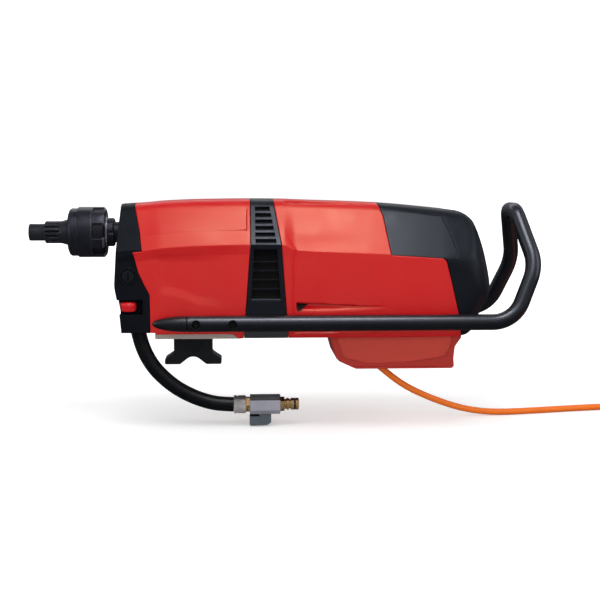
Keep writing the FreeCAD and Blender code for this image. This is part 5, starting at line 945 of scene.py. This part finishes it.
def band_depth(z):
    """Depth of the pockets at a height: sills that slope up to their outer edge."""
    for k in range(SLOTS):
        top, low = slot_bounds(k)
        if low < z < top:
            t = (top - z) / SLOT_HEIGHT
            return 3.4 - 2.2 * ease(0.34, 0.50, t) - 0.8 * ease(0.50, 1.0, t)
    upper = FIELD[0]
    for ledge in LEDGES:
        if ledge <= z < upper:
            t = (upper - z) / (upper - ledge)
            return FIELD_DEPTH - (FIELD_DEPTH - 0.8) * ease(0.84, 1.0, t)
        upper = ledge
    if FIELD[1] < z < upper:
        return 1.2 * (1 - ease(0.0, 0.35, (upper - z) / (upper - FIELD[1])))
    return 0.0


def band_rows():
    rows = [row for row in ROWS if row[0] == "top" or (row[0] == "round" and row[1] < 0.93)]
    heights = [165.0]
    for k in range(SLOTS):
        top, low = slot_bounds(k)
        heights += [top, top - 0.12] + [top - SLOT_HEIGHT * t for t in (0.2, 0.32, 0.45, 0.6, 0.75, 0.9)]
        heights += [low + 0.12, low]
    heights += [119.6, 118.6, 118.0, 117.2, 116.2, 114.5]
    upper = FIELD[0]
    for ledge in LEDGES:
        heights += [upper, upper - 0.15]
        heights += [upper - (upper - ledge) * t for t in (0.25, 0.5, 0.7, 0.8, 0.87, 0.92, 0.96)]
        upper = ledge + 0.15
        heights.append(upper)
        upper = ledge
    heights += [upper, upper - 0.15, 49.0, 47.5, 46.2, FIELD[1], 44.6]
    heights += [42.0 - 2.5 * k for k in range(12)] + [FOOT_TOP + 0.1, FOOT_TOP - 0.1, 9.5]
    rows += [("z", h) for h in sorted(set(heights), reverse=True)]
    return rows + [row for row in ROWS if row[0] in ("foot", "floor")]


FLANK = (shares("round", 10, 8, 11) + [("high", 0.5), ("low", 0.0)] + shares("crease", 4, 0, 5)
         + [("under", 1.0), ("foot", 0.0)])


def band_place(x, row, depth):
    """Place (y, z) on the band: a row of the hull, or a height on its flank, moved inwards by a depth."""
    kind, height = row
    if kind != "z":
        return hull_point(x, row)
    line = [hull_point(x, r) for r in FLANK]
    for a, b in zip(line, line[1:]):
        if height >= b.y or b is line[-1]:
            return a.lerp(b, (a.y - height) / (a.y - b.y)) - outward(a, b, kind) * depth


def build_band():
    bm = bmesh.new()
    rows = band_rows()
    table = {}
    marks = {}
    for index, row in enumerate(rows):
        direct = row[0] != "z"
        z = hull_point(95.0, row).y if direct else row[1]
        left, right = along(BAND_SEAM_FRONT, z), along(BAND_SEAM_REAR, z)
        inner = band_sides(z)
        xs = [left + e for e in EDGE_STEPS[:4]] + [inner[0] - 0.15, inner[0]]
        xs += spaced(inner[0], inner[1], 14) + [inner[1], inner[1] + 0.15]
        xs += [right - e for e in reversed(EDGE_STEPS[:4])]
        deep = 0.0 if direct else band_depth(z)
        for col, x in enumerate(xs):
            sunk = deep if inner[0] - 0.01 <= x <= inner[1] + 0.01 else 0.0
            place = band_place(x, row, edge_drop(min(x - left, right - x)) + sunk)
            add_pair(bm, table, index, col, (x, *place), index in (0, len(rows) - 1))
            marks[index, col] = Vector((sunk, z))
    # the deep faces of the slots and pockets take painted shade, the lowest rows painted light
    for corners, face in add_faces(bm, table):
        mean, height = sum((marks[c[:2]] for c in corners), Vector((0.0, 0.0))) / 4
        face.material_index = 1 if mean > DEEP_FROM else 2 if height < FOOT_TOP else 0
    made = finish_mesh("vent_band_skin", bm, BAND, 30)
    made.data.materials.append(SHADE_BLACK)
    made.data.materials.append(BAND_FOOT_LIT)
    return made


band = build_band()
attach(band, "housing")
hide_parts("vent_band")


# ---------------------------------------------------------------- turned and small pieces
def join_rings(bm, rings):
    """Skin over rings of vertices, closed at both ends; gives each face between the rings with its place."""
    made = []
    for k, (one, other) in enumerate(zip(rings, rings[1:])):
        for i in range(len(one)):
            j = (i + 1) % len(one)
            made.append((k, i, bm.faces.new((one[i], one[j], other[j], other[i]))))
    bm.faces.new(rings[0])
    bm.faces.new(rings[-1])
    return made


def lathe(name, material, profile, centre, axis, around=96, relief=None, shade=None, extra=()):
    """Turned piece. profile is (place along the axis, radius), relief(place, radius, angle) is taken off the
    radius, and shade(place, radius, angle) picks a face's material."""
    angles = [2 * math.pi * k / around for k in range(around)] if isinstance(around, int) else around
    bm = bmesh.new()
    rings = []
    for place, radius in profile:
        ring = []
        for a in angles:
            r = radius - (relief(place, radius, a) if relief else 0.0)
            u, v = r * math.cos(a), r * math.sin(a)
            spot = {"x": (place, u, v), "y": (u, place, v), "z": (u, v, place)}[axis]
            ring.append(bm.verts.new([(c + p) * MM for c, p in zip(centre, spot)]))
        rings.append(ring)
    for k, i, face in join_rings(bm, rings):
        if shade:
            place, radius = ((one + other) / 2 for one, other in zip(profile[k], profile[k + 1]))
            step = (angles[(i + 1) % len(angles)] - angles[i]) % (2 * math.pi)
            face.material_index = shade(place, radius, angles[i] + step / 2)
    piece = finish_mesh(name, bm, material, 32)
    for more in extra:
        piece.data.materials.append(more)
    return piece


def tooth_angles(count, share, start=0.0, slope=0.12):
    """Angles of the edges of evenly spaced grooves, each share of its pitch wide."""
    pitch = 2 * math.pi / count
    result = []
    for k in range(count):
        base = start + pitch * k
        for t in (0.0, 0.5 * (1 - share), (1 - share), (1 - share) + slope * share, 1 - share / 2,
                  1 - slope * share):
            result.append((base + pitch * t) % (2 * math.pi))
    return sorted(result)


def groove_share(angle, count, share, start=0.0, slope=0.12):
    """0 on the lands and 1 in the grooves, with sloping walls."""
    pitch = 2 * math.pi / count
    t = ((angle - start) % pitch) / pitch
    if t < 1 - share:
        return 0.0
    u = (t - (1 - share)) / share
    return min(1.0, u / slope, (1 - u) / slope)


SPINDLE_Z = 131.0
SPLINES = 14
SPLINE_SHARE = 0.50


def spline_relief(place, radius, angle):
    if not -188.4 < place < -166.0 or radius < 11.5:
        return 0.0
    return 2.7 * groove_share(angle, SPLINES, SPLINE_SHARE) * (1 - ease(-171.5, -167.2, place))


# Painted shade on the floors of the spline grooves.
def spline_shade(place, radius, angle):
    return int(-187.9 < place < -169.5 and groove_share(angle, SPLINES, SPLINE_SHARE) > 0.8)


nose_profile = ((-208.8, 4.0), (-208.8, 9.6), (-208.6, 10.2), (-207.9, 10.8), (-207.0, 10.95),
                (-198.0, 10.95), (-189.2, 10.95), (-188.7, 11.1), (-188.4, 11.4), (-188.39, 12.6),
                (-187.9, 13.5), (-187.0, 14.3), (-182.0, 14.3), (-176.0, 14.3), (-170.5, 14.3),
                (-169.2, 14.3), (-168.0, 14.3), (-166.9, 14.5), (-164.5, 15.1), (-161.5, 16.1),
                (-159.3, 16.8), (-157.2, 17.0), (-157.0, 12.0), (-139.7, 12.0), (-139.7, 4.0))
nose = lathe("drive_nose_turned", NOSE, nose_profile, (0.0, 0.0, SPINDLE_Z), "x",
             around=tooth_angles(SPLINES, SPLINE_SHARE), relief=spline_relief, shade=spline_shade,
             extra=(SHADE_BLACK,))
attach(nose, "spindle_assembly")
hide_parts("drive_nose")

POCKETS = 6
POCKET_SHARE = 0.62
POCKET_START = math.radians(-46.0)


def sleeve_relief(place, radius, angle):
    if not -126.0 < place < -110.1 or radius < 29.0:
        return 0.0
    return 3.0 * groove_share(angle, POCKETS, POCKET_SHARE, POCKET_START, 0.05) * ease(-125.9, -125.3, place)


# Painted highlight on the rear chamfer of the lands, painted shade on the pocket floors.
def sleeve_shade(place, radius, angle):
    in_pocket = groove_share(angle, POCKETS, POCKET_SHARE, POCKET_START, 0.05) > 0.8
    if in_pocket:
        return 2 if -125.4 < place and radius > 28.0 else 0
    return 1 if -112.9 < place < -110.4 and radius > 28.9 else 0


sleeve_profile = ((-145.8, 24.0), (-145.8, 31.0), (-145.6, 31.7), (-145.0, 32.1), (-144.2, 32.2),
                  (-136.0, 32.2), (-127.9, 32.2), (-127.7, 31.9), (-127.1, 31.9), (-126.9, 32.2),
                  (-126.0, 32.2), (-125.6, 32.2), (-125.2, 32.2), (-120.0, 32.2), (-113.3, 32.2),
                  (-112.9, 32.1), (-111.2, 30.4), (-110.5, 29.6), (-110.0, 28.6), (-110.0, 24.0))
around = sorted(set(tooth_angles(POCKETS, POCKET_SHARE, POCKET_START, 0.05)
                    + [math.radians(3.0 * k) for k in range(120)]))
sleeve = lathe("chuck_sleeve_milled", OXIDE, sleeve_profile, (0.0, 0.0, SPINDLE_Z), "x", around=around,
               relief=sleeve_relief, shade=sleeve_shade, extra=(CHAMFER_HIGHLIGHT, POCKET_SHADE))
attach(sleeve, "chuck_sleeve_body")
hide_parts("chuck_sleeve")

snap_ring_profile = ((-109.7, 18.3), (-109.7, 19.5), (-109.55, 19.75), (-109.3, 19.8), (-109.0, 19.75),
                     (-108.85, 19.5), (-108.85, 18.3))
snap_ring = lathe("chuck_snap_ring", EDGE_STEEL, snap_ring_profile, (0.0, 0.0, SPINDLE_Z), "x")
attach(snap_ring, "spindle_assembly")

FLUTES = 22


def knob_relief(place, radius, angle):
    if radius < 7.0 or not 35.2 < place < 40.9:
        return 0.0
    here = ease(35.0, 36.5, place) * (1 - ease(39.6, 40.9, place))
    return 0.75 * max(0.0, math.sin(FLUTES * angle)) ** 0.7 * here


knob_profile = ((34.3, 0.4), (34.3, 6.0), (34.6, 7.4), (35.3, 8.4), (36.2, 9.0), (37.4, 9.4), (38.6, 9.6),
                (39.8, 9.8), (40.6, 9.95), (41.2, 10.1), (41.9, 10.16), (43.4, 10.16), (44.4, 9.95),
                (45.3, 9.3), (46.0, 8.3), (46.5, 6.9), (46.8, 5.0), (46.9, 2.6), (46.9, 2.4), (64.0, 2.4))
# The knob's stem above its fluted cap is painted shade.
knob = lathe("flow_knob_fluted", KNOB, knob_profile, (-78.4, -61.5, 0.0), "z", around=FLUTES * 8,
             relief=knob_relief, shade=lambda place, radius, angle: 1 if place > 46.9 else 0, extra=(SHADE_BLACK,))
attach(knob, "flow_knob_body")
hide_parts("flow_knob")


# Painted shade in the ring groove around the dial.
def dial_shade(place, radius, angle):
    return 1 if 7.6 < radius < 8.9 else 0


dial_profile = ((-69.2, 9.2), (-71.5, 9.2), (-71.62, 9.12), (-71.66, 8.95), (-71.6, 8.85), (-70.8, 8.7),
                (-70.8, 7.9), (-71.6, 7.7), (-71.72, 7.55), (-71.78, 7.2), (-71.80, 3.0), (-71.80, 0.3))
dial = lathe("indicator_dial", DIAL, dial_profile, (-77.8, 0.0, 78.8), "y", around=72, shade=dial_shade,
             extra=(SHADE_BLACK,))
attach(dial, "housing")
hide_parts("indicator_window")


END_PLUG = (-47.5, -4.0)
HANDLE_R = 10.0
plug_profile = [(END_PLUG[0], 0.3)]
for k in range(1, 17):
    turn = math.radians(90.0) * k / 16
    plug_profile.append((END_PLUG[1] - (END_PLUG[1] - END_PLUG[0]) * math.cos(turn),
                         HANDLE_R * math.sin(turn)))
plug_profile[-1] = (END_PLUG[1] - 1.5, 9.98)
plug_profile += [(END_PLUG[1] - 1.3, 9.85), (END_PLUG[1] - 1.2, 8.4), (END_PLUG[1] - 0.02, 8.4),
                 (END_PLUG[1], 7.0), (1.0, 7.0)]
# The seam groove of each end plug, and what lies behind it, take painted shade.
for y in (-86.0, 86.0):
    tip = lathe("handle_end_near" if y < 0 else "handle_end_far", TIP, plug_profile, (0.0, y, 21.3), "x",
                shade=lambda place, radius, angle: 1 if place > END_PLUG[1] - 1.25 else 0, extra=(SHADE_BLACK,))
    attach(tip, "housing")
    if y < 0:
        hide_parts("handle_end_plugs")


def rounded_plate(name, outline, radius, start, end):
    """Plate of painted shade between two places in y, its outline (x, z) rounded and its faces' edges
    softened.
    """
    bevel = 0.25
    steps = ((0.0, 1.0), (0.3, 0.3), (1.0, 0.0))
    places = [(start + bevel * depth, bevel * shrink) for depth, shrink in steps]
    places += [(end - bevel * depth, bevel * shrink) for depth, shrink in reversed(steps)]
    points = []
    count = len(outline)
    for i in range(count):
        p, c, q = (Vector(outline[(i + k) % count]) for k in (-1, 0, 1))
        u, w = (p - c).normalized(), (q - c).normalized()
        reach = min(radius, 0.45 * (p - c).length, 0.45 * (q - c).length)
        for k in range(6):
            t = k / 5
            points.append((c + u * reach) * (1 - t) ** 2 + c * 2 * t * (1 - t) + (c + w * reach) * t * t)
    centre = sum(points, Vector((0.0, 0.0))) / len(points)
    bm = bmesh.new()
    rings = []
    for y, shrink in places:
        ring = []
        for p in points:
            away = p - centre
            q = centre + away * (1 - shrink / away.length)
            ring.append(bm.verts.new([v * MM for v in (q.x, y, q.y)]))
        rings.append(ring)
    join_rings(bm, rings)
    return finish_mesh(name, bm, SHADE_BLACK, 40)


# A plate of painted shade in the indicator's slit.
slit = rounded_plate("indicator_slit", ((-79.2, 73.6), (-76.4, 73.6), (-76.4, 84.4), (-79.2, 84.4)), 0.9,
                     -71.86, -71.0)
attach(slit, "housing")


# A plate of painted shade in the valve lever's slot.
slot_shade = rounded_plate("lever_slot_shade", ((72.6, -101.9), (84.2, -101.9), (84.2, -98.7), (72.6, -98.7)), 0.3,
                      -51.45, -40.0)
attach(slot_shade, "valve_handle")


# ---------------------------------------------------------------- intake screens in the rear hood's grooves: wires over sheets of painted shade
SCREEN_X = (131.6, 146.0)
SCREEN_WIRES = 4


def screen_point(u, v, lift):
    """u runs back along the groove, v up across it; lift is how far off the groove's floor."""
    x = SCREEN_X[0] + (SCREEN_X[1] - SCREEN_X[0]) * u * (1.0 - 0.7 * (1 - v))
    low, high = along(GROOVE_LOW, x), along(GROOVE_HIGH, x)
    z = low + (high - low) * (0.10 + 0.78 * v)
    here = next(p for p in (hull_point(x, row) for row in shares("side", 76, 1)) if p.y <= z)
    return Vector((x, -(here.x - groove_depth(x, z) - FLANK_SUNK + lift), z))


# The sheet behind the wires is painted shade: the dark inside of the intake.
def build_screen():
    bm = bmesh.new()
    count = 12
    grid = [[bm.verts.new(screen_point(i / count, j / count, 1.0) * MM) for j in range(count + 1)]
            for i in range(count + 1)]
    for i in range(count):
        for j in range(count):
            bm.faces.new((grid[i][j], grid[i + 1][j], grid[i + 1][j + 1], grid[i][j + 1]))
    mirrored = bmesh.ops.duplicate(bm, geom=bm.verts[:] + bm.edges[:] + bm.faces[:])
    for v in [g for g in mirrored["geom"] if isinstance(g, bmesh.types.BMVert)]:
        v.co.y = -v.co.y
    return finish_mesh("intake_screen_shade", bm, SHADE_BLACK, 40)


def build_wires():
    data = bpy.data.curves.new("intake_wires", "CURVE")
    data.dimensions = "3D"
    data.bevel_depth = 0.16 * MM
    data.bevel_resolution = 2
    lines = []
    for k in range(1, SCREEN_WIRES + 1):
        t = k / (SCREEN_WIRES + 1)
        lines.append([screen_point(t, j / 8, 1.2) for j in range(9)])
        lines.append([screen_point(j / 8, t, 1.3) for j in range(9)])
    for line in lines:
        for side in (1, -1):
            spline = data.splines.new("POLY")
            spline.points.add(len(line) - 1)
            for point, place in zip(spline.points, line):
                point.co = (place.x * MM, side * place.y * MM, place.z * MM, 1.0)
    data.materials.append(WIRE)
    return put("intake_wires", data)


for piece in (build_screen(), build_wires()):
    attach(piece, "housing")


# ---------------------------------------------------------------- hose and mains lead
def nurbs(name, points, radius, material, resolution=8):
    data = bpy.data.curves.new(name, "CURVE")
    data.dimensions = "3D"
    data.bevel_depth = radius
    data.bevel_resolution = 6
    data.resolution_u = resolution
    data.use_fill_caps = True
    line = data.splines.new("NURBS")
    line.points.add(len(points) - 1)
    for p, q in zip(line.points, points):
        p.co = (q[0] * MM, q[1] * MM, q[2] * MM, 1.0)
    line.order_u = 3
    line.use_endpoint_u = True
    data.materials.append(material)
    return put(name, data)


HOSE_ROUTE = ((-67.9, -45.0, 8.0), (-64.5, -45.0, -7.1), (-58.0, -45.3, -23.4), (-48.8, -45.8, -38.4),
              (-36.7, -46.1, -51.6), (-21.3, -46.0, -64.3), (-3.9, -45.6, -74.4), (15.5, -45.1, -82.2),
              (34.2, -45.0, -86.5), (52.3, -45.0, -87.0))
LEAD_ROUTE = ((242.01, 0.0, -44.83), (256.5, 0.0, -57.2), (276.5, 1.0, -72.0), (301.0, 2.5, -84.6),
              (329.0, 4.0, -96.0), (356.0, 5.6, -104.6), (384.0, 7.0, -109.4), (412.0, 9.5, -110.75),
              (440.01, 14.5, -110.75), (473.01, 22.0, -110.75), (508.01, 30.5, -110.75),
              (544.01, 37.25, -110.65), (574.01, 39.65, -109.95), (599.0, 39.25, -109.55))
TAIL_ROUTE = ((694.25, -56.0, -84.05), (694.25, -69.0, -84.05), (693.15, -84.0, -87.65),
              (691.55, -99.0, -93.0), (690.55, -114.0, -96.2), (690.55, -127.0, -96.2))
CORD_D = 8.5
COIL = (634.0, -21.0)
COIL_TURNS = 15.25
COIL_COLUMNS = 4
COIL_MEAN_R = 47.5
COIL_SHRINK = 0.9872
COIL_Z = -109.55
COIL_STEPS = 16


def coil_points():
    """Turns of the stowed lead, clockwise from the top: inwards and outwards by turns, layer on layer."""
    slots = []
    for layer in range(4):
        order = range(COIL_COLUMNS - 1, -1, -1) if layer % 2 == 0 else range(COIL_COLUMNS)
        slots += [(COIL_MEAN_R + (c - (COIL_COLUMNS - 1) / 2) * CORD_D, COIL_Z + layer * CORD_D)
                  for c in order]
    points = []
    for i in range(1, round(COIL_TURNS * COIL_STEPS)):
        t = i / COIL_STEPS
        here, ahead = (slots[min(int(t) + on, len(slots) - 1)] for on in (0, 1))
        step = ease(0.84, 1.0, t - int(t))
        r = (here[0] + (ahead[0] - here[0]) * step) / COIL_SHRINK
        z = here[1] + (ahead[1] - here[1]) * step
        a = math.radians(90.0) - 2 * math.pi * t
        points.append((COIL[0] + r * math.cos(a), COIL[1] + r * math.sin(a), z))
    return points


def make_cords():
    hose = nurbs("hose_line", HOSE_ROUTE, 9.5 * MM, HOSE, 12)
    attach(hose, "housing")
    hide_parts("water_hose")
    into_coil = [(612.0, 39.25, -109.55), (634.0, 39.65, -109.55)]
    out_of_coil = [(694.65, -21.0, -84.05), (694.25, -42.0, -84.05)]
    points = [*LEAD_ROUTE[:-1], *into_coil, *coil_points(), *out_of_coil, *TAIL_ROUTE]
    lead = nurbs("mains_lead", points, CORD_D / 2 * MM, SHEATH, 6)
    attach(lead, "housing")
    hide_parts("power_cord", "cord_coil", "plug_lead")


make_cords()
